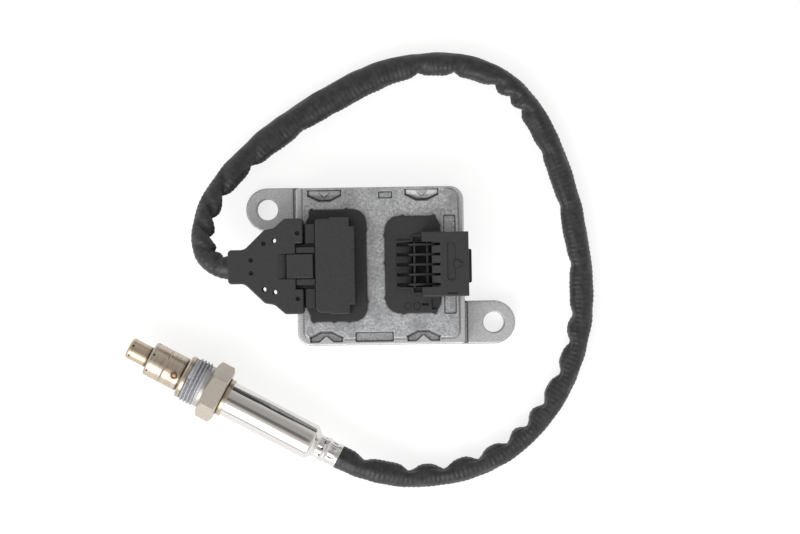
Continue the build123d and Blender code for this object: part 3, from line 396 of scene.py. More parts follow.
@dataclass(frozen=True)
class CastFinish(Finish):
    """Die-cast skin, with machined ears, a worn rim, painted shade in its corners, wells and upright faces
    and at the ears' roots, and painted highlights on its outer edges.

    Attributes:
        ear_top: Height of the ears' tops, in mm.
        rim_top: Height of the rim round the raised middle, in mm.
        wells: Lowest and highest point of the wells along the edges, in mm.
        dull: Tone of the flow streaks, and of the painted shade in the wells and on upright faces.
        worn_and_highlight_dark: Darker tone of the machined and worn faces and of the painted highlights on
            the outer edges.
        worn_and_highlight_light: Lighter tone of the machined and worn faces and of the painted highlights on
            the outer edges.
        edge_w: Width of its rubbed edges, in mm.
        ear_root: Where the painted shade in the valley at an ear's root ends, in mm from the unit's middle.
        groove: Colour of the painted shade in the valley at an ear's root.
    """

    ear_top: float = 6.0
    rim_top: float = 16.8
    wells: tuple[float, float] = (14.0, 16.2)
    dull: str = "#77787B"
    worn_and_highlight_dark: str = "#C2C2C4"
    worn_and_highlight_light: str = "#DEDEDF"
    # edge_w: Width of the painted highlights on its outer edges, in mm.
    edge_w: float = 0.7
    ear_root: float = 36.8
    groove: str = "#37373A"

    def colour(self, surface: Surface) -> Socket:
        """Gives the skin's colour, with slow flow streaks, painted shade in the wells, on upright faces and
        at the ears' roots, light machined and worn faces, and painted highlights on the outer edges.
        """
        fine = surface.colours(surface.grain(self.patch, 5.0), self.dark, self.light, 0.36, 0.64)
        flow = surface.grain(9.0, 2.0, (1.0, 1.6, 1.0))
        # Painted shade: the dull tone goes on the wells' floors and on upright faces; only the slow flow
        # streaks are the skin's own tone.
        marks_and_shade = surface.maths("MAXIMUM", surface.levels(flow, 0.0, 0.4, 0.42, 0.68),
                              surface.levels(surface.band(2, *self.wells, 0.3), 0.0, 0.4, 0.0, 1.0))
        marks_and_shade = surface.maths("MAXIMUM", marks_and_shade, surface.maths("MULTIPLY", surface.steep(), 0.6))
        flow_and_shade_tone = surface.colours(surface.grain(self.patch * 2.2, 4.0), self.dull, self.dark)
        marked_and_shaded = surface.mix(marks_and_shade, fine, flow_and_shade_tone)
        rubbing_and_highlight = surface.colours(surface.grain(0.7, 4.0), self.worn_and_highlight_dark, self.worn_and_highlight_light)
        ears = surface.band(2, self.ear_top - 0.12, self.ear_top + 0.05, 0.05)
        rim = surface.band(2, self.rim_top - 0.5, self.rim_top + 0.1, 0.1)
        # Painted highlight on the outer edges, joined with the worn ear tops and rim.
        worn = surface.maths("MAXIMUM", surface.maths("MAXIMUM", ears, rim), surface.edges(self.edge_w))
        across = surface.maths("ABSOLUTE", surface.part(0), 0.0)
        # Painted shade: a dark band in the valley at each ear's root.
        root = surface.levels(across, 0.8, 0.0, (self.ear_root - 0.5) * MM, self.ear_root * MM)
        shaded = surface.colours(flow, self.groove, self.groove)
        return surface.mix(surface.maths("MULTIPLY", root, ears), surface.mix(worn, marked_and_shaded, rubbing_and_highlight), shaded)


@dataclass(frozen=True)
class TintedTubeFinish(Finish):
    """Stainless tube with a weld spot and the tint that its heat left.

    Attributes:
        weld: The spot's centre in the probe's axes, in mm.
        tint: Colour of the heat tint.
        scorch: Colour of the ring closest to the spot.
    """

    weld: Triple = (7.3, 1.48, 22.5)
    tint: str = "#A4805A"
    scorch: str = "#6A6258"

    def colour(self, surface: Surface) -> Socket:
        """Gives the tube's colour, with a brown halo and a grey ring round the spot."""
        bare = super().colour(surface)
        cloud = surface.grain(1.2)
        spot = Vector(self.weld)
        brown = surface.maths("MULTIPLY", surface.near(spot, 1.5, 2.5), surface.levels(cloud, 0.4, 1.0))
        halo = surface.mix(brown, bare, surface.colours(cloud, self.tint, self.tint))
        ring = surface.maths("SUBTRACT", surface.near(spot, 1.2, 1.6), surface.near(spot, 0.7, 1.1))
        return surface.mix(ring, halo, surface.colours(cloud, self.scorch, self.scorch))


@dataclass(frozen=True)
class PastedNutFinish(Finish):
    """Satin steel, with mounting paste smeared over the screwed end.

    Attributes:
        thread: Where the screwed end starts and stops along the probe, in mm.
        relief_zone: Where the turned groove behind it starts and stops.
        bright: The turned groove's colour.
        paste_dark: The paste's darker tone.
        paste_light: The paste's lighter tone.
    """

    thread: tuple[float, float] = (27.9, 35.0)
    relief_zone: tuple[float, float] = (35.15, 36.65)
    bright: str = "#C4BFB8"
    paste_dark: str = "#A6A7B0"
    paste_light: str = "#DCDDE4"

    def cover(self, surface: Surface) -> Socket:
        """Gives the mask of the smeared paste."""
        patches = surface.levels(surface.grain(0.9, 4.0), 0.3, 1.0, 0.33, 0.5)
        return surface.maths("MULTIPLY", patches, surface.band(2, *self.thread, 0.2))

    def colour(self, surface: Surface) -> Socket:
        """Gives the nut's colour, with the bright groove and the paste."""
        bare = super().colour(surface)
        paste = surface.colours(surface.grain(0.5, 4.0), self.paste_dark, self.paste_light)
        turned = surface.colours(surface.grain(0.3), self.bright, self.bright)
        relief = surface.band(2, *self.relief_zone, 0.05)
        return surface.mix(self.cover(surface), surface.mix(relief, bare, turned), paste)

    def metalness(self, surface: Surface) -> float | Socket:
        """Gives how metallic the nut is: less where the paste is."""
        return surface.levels(self.cover(surface), 1.0, 0.2, 0.0, 1.0)

    def roughness(self, surface: Surface) -> Socket:
        """Gives the nut's roughness, which the paste makes duller."""
        paste_gloss = surface.levels(self.cover(surface), 0.0, 0.6, 0.0, 1.0)
        return surface.maths("MAXIMUM", super().roughness(surface), paste_gloss)


@dataclass(frozen=True)
class CrimpedFinish(Finish):
    """Polished tube whose crimped neck the tool left duller.

    Attributes:
        neck: Where the neck starts and stops along the probe, in mm.
        neck_gloss: The neck's roughness.
    """

    neck: tuple[float, float] = (87.6, 99.3)
    neck_gloss: float = 0.24

    def roughness(self, surface: Surface) -> Socket:
        """Gives the tube's roughness, with the duller neck."""
        dull = surface.levels(surface.band(2, *self.neck, 0.3), 0.0, self.neck_gloss, 0.0, 1.0)
        return surface.maths("MAXIMUM", super().roughness(surface), dull)


# Rings round the probe: the pattern is drawn out across the axis and stays fine along it.
ROUND_PROBE = (40.0, 40.0, 1.0)

# Grainy, slightly matt grey skin of a die casting that was blasted after casting, with painted shade in its
# corners and painted highlights on its edges.
CAST_ALUMINIUM = CastFinish("Die-cast aluminium", "#A9AAAD", "#E0E1E3", 1.0, (0.48, 0.62), 0.8, 0.5, 0.04,
                            rounded=0.35, corner_shade=0.85, corner_shade_w=0.8)
# Satin sheet with faint rolling lines along the unit.
ROLLED_ALUMINIUM = Finish("Rolled aluminium sheet", "#AEAFB0", "#CBCCCC", 1.0, (0.28, 0.4), 0.6, 0.25, 0.004,
                          (30.0, 1.0, 1.0), rounded=0.2)
# Glass-filled moulding: dark grey with a spark-eroded bloom that scatters the light, and painted shade in its
# corners.
BLACK_MOULDING = Finish("Glass-filled polyester moulding", "#2D2D2F", "#353537", 0.0, (0.42, 0.56), 0.9, 0.16,
                        0.012, rounded=0.3, corner_shade=0.85, corner_shade_w=0.9)
# Dull moulded rubber with a slight bloom.
SEAL_RUBBER = Finish("Moulded silicone rubber", "#232324", "#37373A", 0.0, (0.6, 0.75), 1.2, 0.2, 0.01,
                     rounded=0.15)
# Zinc plate over turned steel: pale, with a straw cast in patches.
ZINC_PLATE = Finish("Zinc-plated steel", "#A8A79C", "#C9C9C2", 1.0, (0.25, 0.38), 0.8, 0.2, 0.004,
                    rounded=0.1)
# Green solder mask over glass cloth, with a faint cloudy tone and relief.
SOLDER_MASK = Finish("Solder mask on glass laminate", "#0E3D22", "#1B5A33", 0.0, (0.25, 0.38), 1.4, 0.5,
                     0.01)
# Moulded epoxy, black with a fine matt bloom.
CHIP_EPOXY = Finish("Moulded epoxy", "#1A1A1B", "#28282A", 0.0, (0.45, 0.6), 0.5, 0.12, 0.008, rounded=0.1)
# Drawn aluminium can, bright with fine vertical draw lines.
DRAWN_CAN = Finish("Drawn aluminium can", "#BFC0C1", "#DADADA", 1.0, (0.2, 0.3), 0.3, 0.15, 0.003,
                   (1.0, 1.0, 20.0))
# Tinned contact metal: pale with a warm cast.
TINNED_BRASS = Finish("Tinned brass", "#B9B4A4", "#D6D2C6", 1.0, (0.2, 0.32), 0.5, 0.15, 0.004, rounded=0.05)
# Drawn stainless tube, warm from heat, with faint rings left by rolling and painted shade in its corners and
# hollows.
TIP_TUBE = Finish("Heat-tinted stainless tube", "#B5A48D", "#D3C5B1", 1.0, (0.3, 0.42), 1.2, 0.4, 0.002,
                  ROUND_PROBE, rounded=0.12, axes=Frame.PROBE, corner_shade=0.95, corner_shade_w=1.6)
OUTER_TUBE = TintedTubeFinish("Heat-tinted stainless outer tube", "#B8AA97", "#D5C9B9", 1.0, (0.28, 0.4), 1.4,
                              0.4, 0.002, ROUND_PROBE, rounded=0.12, axes=Frame.PROBE, corner_shade=0.9, corner_shade_w=1.6)
# Turned stainless: fine lathe rings, a soft shine and painted shade in its corners and hollows.
TURNED_STEEL = Finish("Turned stainless steel", "#A89A88", "#CABDAB", 1.0, (0.26, 0.4), 0.5, 0.3, 0.006,
                      ROUND_PROBE, rounded=0.1, axes=Frame.PROBE, corner_shade=0.8, corner_shade_w=1.0)
# Satin nut: warm grey flats with a fine even grain, grey-lilac paste in the thread and a little painted shade
# in its corners.
PASTED_NUT = PastedNutFinish("Satin stainless nut with mounting paste", "#C0B7AC", "#D3CABF", 1.0,
                             (0.4, 0.52), 0.5, 0.3, 0.012, rounded=0.25, axes=Frame.PROBE, corner_shade=0.35,
                             corner_shade_w=0.8)
# Polished tube: mirror-like with hair-fine lines along it.
POLISHED_STEEL = CrimpedFinish("Polished stainless steel", "#D6D2CE", "#E8E5E2", 1.0, (0.07, 0.16), 0.35, 0.2,
                               0.0015, (1.0, 1.0, 60.0), axes=Frame.PROBE)
# Sintered ceramic: off-white and slightly speckled.
SINTERED_CERAMIC = Finish("Sintered ceramic", "#D8D3C8", "#EFEBE2", 0.0, (0.45, 0.6), 0.4, 0.15, 0.008)
# Extruded wire cover: grey, smooth and slightly waxy.
WIRE_COVER = Finish("Extruded wire insulation", "#56565A", "#6B6B70", 0.0, (0.35, 0.45), 1.0, 0.2, 0.004)
# Ribbed sleeve: soft black with a dull shine on its ribs and a patchy tone.
RIBBED_SLEEVE = Finish("Ribbed polyamide sleeve", "#1C1C1D", "#38383B", 0.0, (0.36, 0.54), 2.6, 0.18, 0.01)

# Which nodes get which finish. The four nodes that a new piece replaces or sits on are dressed in main.
DRESS: tuple[tuple[Finish, tuple[str, ...]], ...] = (
    (CAST_ALUMINIUM, ("housing",)),
    (ROLLED_ALUMINIUM, ("base_plate",)),
    (BLACK_MOULDING, ("vehicle_header", "harness_header", "harness_plug", "upper_cover", "lower_cover")),
    (SEAL_RUBBER, ("base_seal", "vehicle_header_seal", "harness_header_seal", "grommet")),
    (ZINC_PLATE, ("base_screws", "board_screws")),
    (SOLDER_MASK, ("circuit_board",)),
    (CHIP_EPOXY, ("processor", "driver_chips", "heater_transistor", "choke", "chip_resistors")),
    (DRAWN_CAN, ("capacitors",)),
    (TINNED_BRASS, ("vehicle_pins", "harness_pins", "plug_terminals", "contact_springs")),
    (TIP_TUBE, ("inner_protection_tube",)),
    (TURNED_STEEL, ("probe_body",)),
    (SINTERED_CERAMIC, ("sensing_element", "front_insulator", "talc_ring", "middle_insulator",
                        "contact_holder")),
    (WIRE_COVER, ("plug_wires", "probe_wires")),
)


def smooth(shape: bmesh.types.BMesh, limit: float) -> None:
    """Smooths the shading of a mesh, but keeps its sharp edges.

    Args:
        shape: The mesh.
        limit: Angle above which an edge stays sharp, in degrees.
    """
    for face in shape.faces:
        face.smooth = True
    for edge in shape.edges:
        edge.smooth = edge.calc_face_angle(0.0) < math.radians(limit)


def piece(name: str, shape: bmesh.types.BMesh, material: bpy.types.Material) -> bpy.types.Object:
    """Turns a finished mesh into an object.

    Args:
        name: The piece's name.
        shape: Its mesh, in metres and in place.
        material: Its finish.

    Returns:
        The object.
    """
    data = bpy.data.meshes.new(name)
    shape.to_mesh(data)
    shape.free()
    data.materials.append(material)
    made = bpy.data.objects.new(name, data)
    bpy.context.scene.collection.objects.link(made)
    return made


def section(shape: bmesh.types.BMesh, profile: list[tuple[float, float]]) -> list:
    """Adds a closed half section, and gives its corners and edges.

    Args:
        shape: The mesh that gets it.
        profile: (radius, height) of each corner.

    Returns:
        The corners, then the edges.
    """
    corners = [shape.verts.new((r, 0.0, z)) for r, z in profile]
    return corners + [shape.edges.new((a, b)) for a, b in zip(corners, corners[1:] + corners[:1])]


def spun(profile: list[tuple[float, float]], steps: int) -> bmesh.types.BMesh:
    """Spins a closed half section round the Z axis.

    Args:
        profile: (radius, height) of each corner.
        steps: Number of steps round.

    Returns:
        The closed mesh.
    """
    shape = bmesh.new()
    bmesh.ops.spin(shape, geom=section(shape, profile), cent=(0, 0, 0), axis=(0, 0, 1), angle=math.tau,
                   steps=steps, use_merge=True)
    bmesh.ops.remove_doubles(shape, verts=shape.verts, dist=1e-5)
    bmesh.ops.recalc_face_normals(shape, faces=shape.faces)
    return shape


@dataclass
class UnionNut:
    """The union nut, with its thread's real turns.

    Attributes:
        start: Where the screwed end starts along the probe, in mm.
        end: Where it stops.
        crest_r: Radius over the thread.
        root_r: Radius in the thread's grooves.
        pitch: Rise of one turn.
        crest_half_w: Half the width of a turn's crest.
        foot_half_w: Half the width of its foot.
        front_slope: Rise of the front chamfer's radius along the probe.
        rear_slope: Fall of the run-out's radius along the probe.
        steps: Steps in one turn.
    """

    start: float = 27.95
    end: float = 35.05
    crest_r: float = 10.0
    root_r: float = 9.1
    pitch: float = 1.5
    crest_half_w: float = 0.1
    foot_half_w: float = 0.64
    front_slope: float = 1.1
    rear_slope: float = 2.0
    steps: int = 72

    def core(self) -> bmesh.types.BMesh:
        """Gives the nut with its screwed end turned down to the grooves, in the probe's axes."""
        shape = bmesh.new()
        shape.from_mesh(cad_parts["union_nut"].data)
        bmesh.ops.remove_doubles(shape, verts=shape.verts, dist=1e-6)
        bmesh.ops.transform(shape, matrix=PROBE.place().inverted(), verts=shape.verts)
        for vert in shape.verts:
            radius = vert.co.xy.length
            if vert.co.z < self.end + 0.01 and radius > self.root_r + 0.3:
                vert.co.xy *= self.root_r / radius
        return shape

    def limit(self, height: float) -> float:
        """Gives the largest radius that the chamfers leave at a height."""
        front = self.root_r + max(0.0, height - self.start) * self.front_slope
        rear = self.root_r + max(0.0, self.end - height) * self.rear_slope
        return min(self.crest_r, front, rear)

    def ridge(self) -> bmesh.types.BMesh:
        """Gives the thread's turns, in the probe's axes."""
        inner = self.root_r - 0.15
        first = self.start + self.foot_half_w + 0.02
        rise = self.end - self.start - 2 * self.foot_half_w - 0.04
        profile = [(inner, -self.foot_half_w), (self.root_r, -self.foot_half_w),
                   (self.crest_r, -self.crest_half_w), (self.crest_r, self.crest_half_w),
                   (self.root_r, self.foot_half_w), (inner, self.foot_half_w)]
        shape = bmesh.new()
        line = section(shape, [(r, first + z) for r, z in profile])
        turns = rise / self.pitch
        count = round(turns * self.steps)
        bmesh.ops.spin(shape, geom=line, cent=(0, 0, 0), axis=(0, 0, 1), dvec=(0, 0, rise / count),
                       angle=turns * math.tau, steps=count)
        for vert in shape.verts:
            radius, most = vert.co.xy.length, self.limit(vert.co.z)
            if radius > most:
                vert.co.xy *= most / radius
        bmesh.ops.holes_fill(shape, edges=[e for e in shape.edges if e.is_boundary])
        bmesh.ops.recalc_face_normals(shape, faces=shape.faces)
        return shape

    def build(self, material: bpy.types.Material) -> None:
        """Makes the nut and lets it stand for the plain one."""
        shape = self.core()
        extra = bpy.data.meshes.new("thread_turns")
        turns = self.ridge()
        turns.to_mesh(extra)
        turns.free()
        shape.from_mesh(extra)
        smooth(shape, 32.0)
        bmesh.ops.transform(shape, matrix=PROBE.place(), verts=shape.verts)
        nut = piece("threaded_union_nut", shape, material)
        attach(nut, Body.NUT.value)
        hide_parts("union_nut")
        log.info("union nut: %d faces", len(nut.data.polygons))


@dataclass
class CrimpedSleeve:
    """The polished rear sleeve, with the dents that crimping left.

    Attributes:
        start: Where the sleeve starts along the probe, in mm.
        crimp: Where its crimped neck starts.
        end: Where it ends.
        radius: Its outer radius.
        wall: Its wall.
        waist: The neck's radius.
        bulge: Radius of the ring between the two rows of dents.
        lip: Radius of the end ring.
        dents: Number of dents in a row.
        dent_depth: How deep a dent is.
        dent_rows: Each row's middle behind the neck's start, half its width, and its turn in radians.
        cut: Distance between the cuts along the neck.
        barrel_cuts: Number of cuts along the straight part.
        steps: Steps round the sleeve.
    """

    start: float = 46.65
    crimp: float = 86.75
    end: float = 99.15
    radius: float = 7.62
    wall: float = 0.5
    waist: float = 4.8
    bulge: float = 5.5
    lip: float = 5.2
    dents: int = 9
    dent_depth: float = 0.42
    dent_rows: tuple[Triple, ...] = ((3.6, 1.6, 0.0), (8.9, 2.0, 0.4))
    cut: float = 0.3
    barrel_cuts: int = 12
    steps: int = 160

    def half_section(self, inwards: float) -> list[tuple[float, float]]:
        """Gives the sleeve's line from front to end, moved inwards by the given distance."""
        z = self.crimp
        knots = [(self.radius, self.start), (self.radius, z - 1.2), (self.radius - 0.12, z - 0.5),
                 (self.radius - 0.55, z + 0.1), (self.waist + 0.75, z + 1.5), (self.waist + 0.3, z + 2.0)]
        rows = [(self.waist + 0.15, z + 2.5), (self.waist + 0.1, z + 4.6), (self.waist + 0.22, z + 5.1),
                (self.bulge - 0.22, z + 5.6), (self.bulge - 0.04, z + 5.9), (self.bulge, z + 6.15),
                (self.bulge - 0.04, z + 6.4), (self.bulge - 0.22, z + 6.7), (self.waist + 0.25, z + 7.2),
                (self.waist + 0.15, z + 7.6), (self.waist + 0.15, z + 10.0), (self.waist + 0.22, z + 10.6),
                (self.lip - 0.1, self.end - 1.0), (self.lip, self.end - 0.7), (self.lip, self.end - 0.15),
                (self.lip - 0.15, self.end)]
        line = knots + rows
        full = []
        for (r0, z0), (r1, z1) in zip(line, line[1:]):
            cuts = max(1, round((z1 - z0) / self.cut)) if z0 > z - 1.3 else self.barrel_cuts
            full += [(r0 + (r1 - r0) * i / cuts - inwards, z0 + (z1 - z0) * i / cuts) for i in range(cuts)]
        return full + [(line[-1][0] - inwards, line[-1][1])]

    def dent(self, angle: float, height: float) -> float:
        """Gives how deep the crimped rows are at a point, in mm."""
        depth = 0.0
        for middle, half, shift in self.dent_rows:
            across = max(0.0, 1 - ((height - (self.crimp + middle)) / half) ** 2)
            around = 0.5 + 0.5 * math.cos(self.dents * (angle + shift))
            depth += self.dent_depth * across * around ** 2
        return depth

    def build(self, material: bpy.types.Material) -> None:
        """Makes the sleeve and lets it stand for the plain one."""
        outside, inside = self.half_section(0.0), self.half_section(self.wall)
        shape = spun(outside + list(reversed(inside)), self.steps)
        for vert in shape.verts:
            radius = vert.co.xy.length
            depth = self.dent(math.atan2(vert.co.y, vert.co.x), vert.co.z)
            vert.co.xy *= (radius - depth) / radius
        smooth(shape, 50.0)
        bmesh.ops.transform(shape, matrix=PROBE.place(), verts=shape.verts)
        sleeve = piece("crimped_rear_sleeve", shape, material)
        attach(sleeve, Body.SENSOR.value)
        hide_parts("rear_sleeve")
        log.info("rear sleeve: %d faces", len(sleeve.data.polygons))


@dataclass
class WeldSpot:
    """The small round weld on the outer protection tube.

    Attributes:
        radius: The tube's outer radius, in mm.
        height: Where the spot is along the probe.
        angle: Where it is round the probe, from the top towards the right-hand side, in degrees.
        size: Radius of the spot's rim.
        rings: Width and lift of each ring from the rim to the dimple.
    """

    radius: float = 7.45
    height: float = 22.5
    angle: float = 11.4
    size: float = 1.45
    rings: tuple[tuple[float, float], ...] = ((0.2, 0.14), (0.2, 0.08), (0.3, -0.26), (0.25, -0.08))

    def build(self, material: bpy.types.Material) -> None:
        """Makes the spot: a low ring with a dimple in it, bent round the tube."""
        shape = bmesh.new()
        bmesh.ops.create_circle(shape, cap_ends=True, segments=40, radius=self.size)
        face = shape.faces[:][0]
        for width, lift in self.rings:
            bmesh.ops.inset_individual(shape, faces=[face], thickness=width, depth=lift)
        for vert in shape.verts:
            turn = math.radians(self.angle) + vert.co.y / self.radius
            out = self.radius - 0.02 + vert.co.z
            vert.co = Vector((out * math.cos(turn), out * math.sin(turn), self.height + vert.co.x))
        rim = bmesh.ops.extrude_edge_only(shape, edges=[e for e in shape.edges if e.is_boundary])
        for vert in [v for v in rim["geom"] if isinstance(v, bmesh.types.BMVert)]:
            vert.co.xy *= (self.radius - 0.2) / vert.co.xy.length
        bmesh.ops.holes_fill(shape, edges=[e for e in shape.edges if e.is_boundary])
        bmesh.ops.recalc_face_normals(shape, faces=shape.faces)
        smooth(shape, 60.0)
        bmesh.ops.transform(shape, matrix=PROBE.place(), verts=shape.verts)
        spot = piece("weld_spot", shape, material)
        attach(spot, Body.SENSOR.value)
        log.info("weld spot: %d faces", len(spot.data.polygons))


@dataclass(frozen=True)
class Fold:
    """A crease across the sleeve's inner side.

    Attributes:
        at: Its place along the cable, in mm.
        depth: Its depth.
        slant: How far it runs along the cable in one radian round it.
        width: Its half width.
        reach: How far it goes round the cable from the inner side, in radians.
    """

    at: float
    depth: float
    slant: float
    width: float
    reach: float

    def dip(self, along: float, angle: float) -> float:
        """Gives how deep the crease is at a point, in mm."""
        fade = 1 - (angle / self.reach) ** 2
        if fade <= 0:
            return 0.0
        off = abs(along - self.at - self.slant * abs(angle)) / self.width
        return self.depth * math.exp(-off ** 1.8) * fade if off < 4 else 0.0


@dataclass
class CableSleeve:
    """The ribbed sleeve over the probe's wires.

    Attributes:
        route: Points that the cable's line is drawn with, in mm.
        radius: The sleeve's usual radius.
        sides: Corners in one ring of its mesh.
        rib_pitch: Distance between ribs.
        rib_height: Height of a rib.
        pressed: Where along the cable it starts and stops being pressed flat.
        press_ramp: Length over which the pressing fades at either end.
        deepest: Depth that the creases together don't pass.
        fold_span: How far along the cable a crease can reach.
        lowest: Height above the ground that it keeps.
        folds: Creases on its inner side.
    """

    route: tuple[Triple, ...] = (
        (-57, 0.4, 26.2), (-68, -0.2, 26.2), (-74.9, 10.6, 21.6), (-70.9, 28.2, 13.0), (-59.6, 42.9, 7.2),
        (-42.3, 56.9, 5.3), (-19.7, 71.2, 5.3), (5.1, 83.1, 5.3), (29.9, 85.8, 5.3), (51.0, 79.7, 5.3),
        (65.6, 64.3, 5.3), (75.2, 42.7, 5.3), (81.7, 18.9, 5.3), (85.0, -7.0, 5.3), (83.9, -28.6, 5.3),
        (76.0, -51.7, 5.3), (61.2, -72.2, 5.3), (40.9, -85.0, 5.3), (15.2, -89.8, 5.3),
        (-8.36, -85.47, 11.0), (-18.9, -79.74, 11.0))
    radius: float = 5.0
    sides: int = 44
    rib_pitch: float = 2.0
    rib_height: float = 0.2
    pressed: tuple[float, float] = (55.0, 150.0)
    press_ramp: float = 25.0
    deepest: float = 3.3
    fold_span: float = 24.0
    lowest: float = 0.05
    folds: tuple[Fold, ...] = (
        Fold(8.5, 1.2, 1.5, 1.8, 2.2), Fold(15.0, 2.0, 2.5, 2.0, 2.8), Fold(24.0, 3.0, 3.0, 2.4, 3.0),
        Fold(33.5, 3.2, 3.2, 2.6, 3.0), Fold(45.5, 3.0, 3.5, 3.0, 2.8), Fold(65.0, 1.8, 4.0, 3.0, 2.2),
        Fold(92.0, 0.7, 4.0, 4.0, 2.0), Fold(149, 1.6, 2.2, 2.4, 2.1), Fold(165, 2.0, 2.4, 2.4, 2.1),
        Fold(184, 2.4, 2.4, 2.6, 2.1), Fold(193, 2.4, 2.4, 2.4, 2.1), Fold(201, 2.2, 2.2, 2.4, 2.1),
        Fold(222, 1.0, 1.5, 3.0, 1.8), Fold(246, 1.2, 1.5, 3.2, 1.8), Fold(272, 1.2, 1.5, 3.2, 1.8),
        Fold(294, 1.6, 0.8, 3.0, 1.6), Fold(306, 2.4, 0.8, 3.0, 1.6), Fold(320, 2.8, 0.7, 3.2, 1.5),
        Fold(335, 3.0, 0.7, 3.0, 1.5), Fold(347, 3.2, 0.7, 3.2, 1.5), Fold(358.6, 3.3, 0.7, 3.3, 1.5),
        Fold(373, 3.3, 0.7, 3.4, 1.5), Fold(388.3, 3.3, 0.7, 3.4, 1.5), Fold(403.7, 3.0, 0.7, 3.4, 1.5),
        Fold(424.5, 1.8, 0.8, 3.0, 1.5))

    def line(self) -> list[Vector]:
        """Gives the points of the cable's line, read from the curve that the route draws."""
        curve = bpy.data.curves.new("cable_line", "CURVE")
        curve.dimensions = "3D"
        spline = curve.splines.new("NURBS")
        spline.points.add(len(self.route) - 1)
        for point, place in zip(spline.points, self.route):
            point.co = (*(Vector(place) * MM), 1.0)
        spline.order_u = 3
        spline.use_endpoint_u = True
        spline.resolution_u = 64
        holder = bpy.data.objects.new("cable_line", curve)
        bpy.context.scene.collection.objects.link(holder)
        mesh = bpy.data.meshes.new_from_object(holder.evaluated_get(bpy.context.evaluated_depsgraph_get()))
        points = [vert.co / MM for vert in mesh.vertices]
        bpy.data.objects.remove(holder)
        bpy.data.meshes.remove(mesh)
        return points

    def flat(self, along: float) -> float:
        """Gives how pressed flat the sleeve is, from 0 to 1."""
        start, end = self.pressed
        return max(0.0, min(1.0, (along - start) / self.press_ramp, (end - along) / self.press_ramp))

    def stripe(self, along: float) -> float:
        """Gives the angle of the smooth stripe that winds along the upper right, in radians."""
        return math.radians(60 + (along - 200) * 0.38)

    def ribbing(self, along: float, angle: float) -> float:
        """Gives how high the ribs stand at a point, from 0 to 1."""
        if 60 < along < 185:
            return max(0.12, min(1.0, 0.62 + 0.6 * math.cos(angle)))
        if 200 < along < 305:
            off = abs(angle - self.stripe(along))
            return min(1.0, max(0.1, (off - 0.16) / 0.12)) if angle > 0 else 1.0
        return 0.9

    def seam(self, along: float, angle: float) -> float:
        """Gives the depth of the two creases that run lengthwise, in mm."""
        if angle <= 0:
            return 0.0
        depth = 0.0
        if 198 < along < 312:
            fade = min(1.0, (along - 198) / 10, (312 - along) / 20)
            middle = self.stripe(along)
            for edge in (middle - 0.24, middle + 0.24):
                depth += 0.22 * fade * math.exp(-((angle - edge) / 0.09) ** 2)
        if 296 < along < 430:
            fade = min(1.0, (along - 296) / 14, (430 - along) / 14)
            depth += 0.45 * fade * math.exp(-((angle - math.radians(52)) / 0.13) ** 2)
        return depth

    def offset(self, along: float, angle: float, near: list[Fold]) -> float:
        """Gives the sleeve's radius at a point.

        Args:
            along: Distance along the cable, in mm.
            angle: Angle round it, from its inner side over the top, in radians.
            near: The creases that may reach it.

        Returns:
            The radius, in mm.
        """
        rib = (0.5 + 0.5 * math.cos(math.tau * (along + 0.35 * math.sin(angle)) / self.rib_pitch)) ** 1.3
        spot = Vector((along / 7, 1.3 * math.cos(angle), 1.3 * math.sin(angle)))
        swell = 0.35 * noise.noise(spot)
        worn = min(1.0, max(0.15, 0.75 + 1.5 * noise.noise(spot * 1.7)))
        dips = sum(fold.dip(along, angle) for fold in near)
        return self.radius + swell + self.rib_height * (rib * worn * self.ribbing(along, angle) - 0.5) \
            - min(dips, self.deepest) - self.seam(along, angle)

    def build(self, material: bpy.types.Material) -> None:
        points = self.line()
        shape = bmesh.new()
        ring = bmesh.ops.create_circle(shape, segments=self.sides, radius=1.0)["verts"]
        edges = list({edge for vert in ring for edge in vert.link_edges})
        along = 0.0
        for i, point in enumerate(points):
            if i:
                along += (point - points[i - 1]).length
                grown = bmesh.ops.extrude_edge_only(shape, edges=edges)["geom"]
                ring = [e for e in grown if isinstance(e, bmesh.types.BMVert)]
                edges = [e for e in grown if isinstance(e, bmesh.types.BMEdge) and e.is_boundary]
            ahead = (points[min(i + 1, len(points) - 1)] - points[max(i - 1, 0)]).normalized()
            side = ahead.cross(Vector((0, 0, 1))).normalized()
            up = side.cross(ahead)
            press = self.flat(along)
            near = [fold for fold in self.folds if abs(along - fold.at) < self.fold_span]
            for k, vert in enumerate(ring):
                angle = math.tau * k / self.sides - math.pi
                reach = self.offset(along, angle, near)
                vert.co = point + side * (reach * math.cos(angle) * (1 + 0.2 * press)) \
                    + up * (reach * math.sin(angle) * (1 - 0.1 * press))
        bmesh.ops.holes_fill(shape, edges=[e for e in shape.edges if e.is_boundary])
        bmesh.ops.recalc_face_normals(shape, faces=shape.faces)
        for vert in shape.verts:
            vert.co.z = max(vert.co.z, self.lowest)
        smooth(shape, 60.0)
        bmesh.ops.transform(shape, matrix=Matrix.Scale(MM, 4), verts=shape.verts)
        sleeve = piece("cable_sleeve", shape, material)
        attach(sleeve, Body.SENSOR.value)
        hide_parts("cable")
        log.info("cable sleeve: %d faces, %.1f mm long", len(sleeve.data.polygons), along)


@dataclass(frozen=True)
class Shade:
    """A darker part of the surroundings, which polished steel mirrors as a streak.

    Attributes:
        aim: Direction of its middle.
        start: Cosine of the angle from the middle where it starts.
        full: Cosine of the angle where it is full.
        tone: Its colour, which multiplies that of the walls.
    """

    aim: Triple
    start: float
    full: float
    tone: str


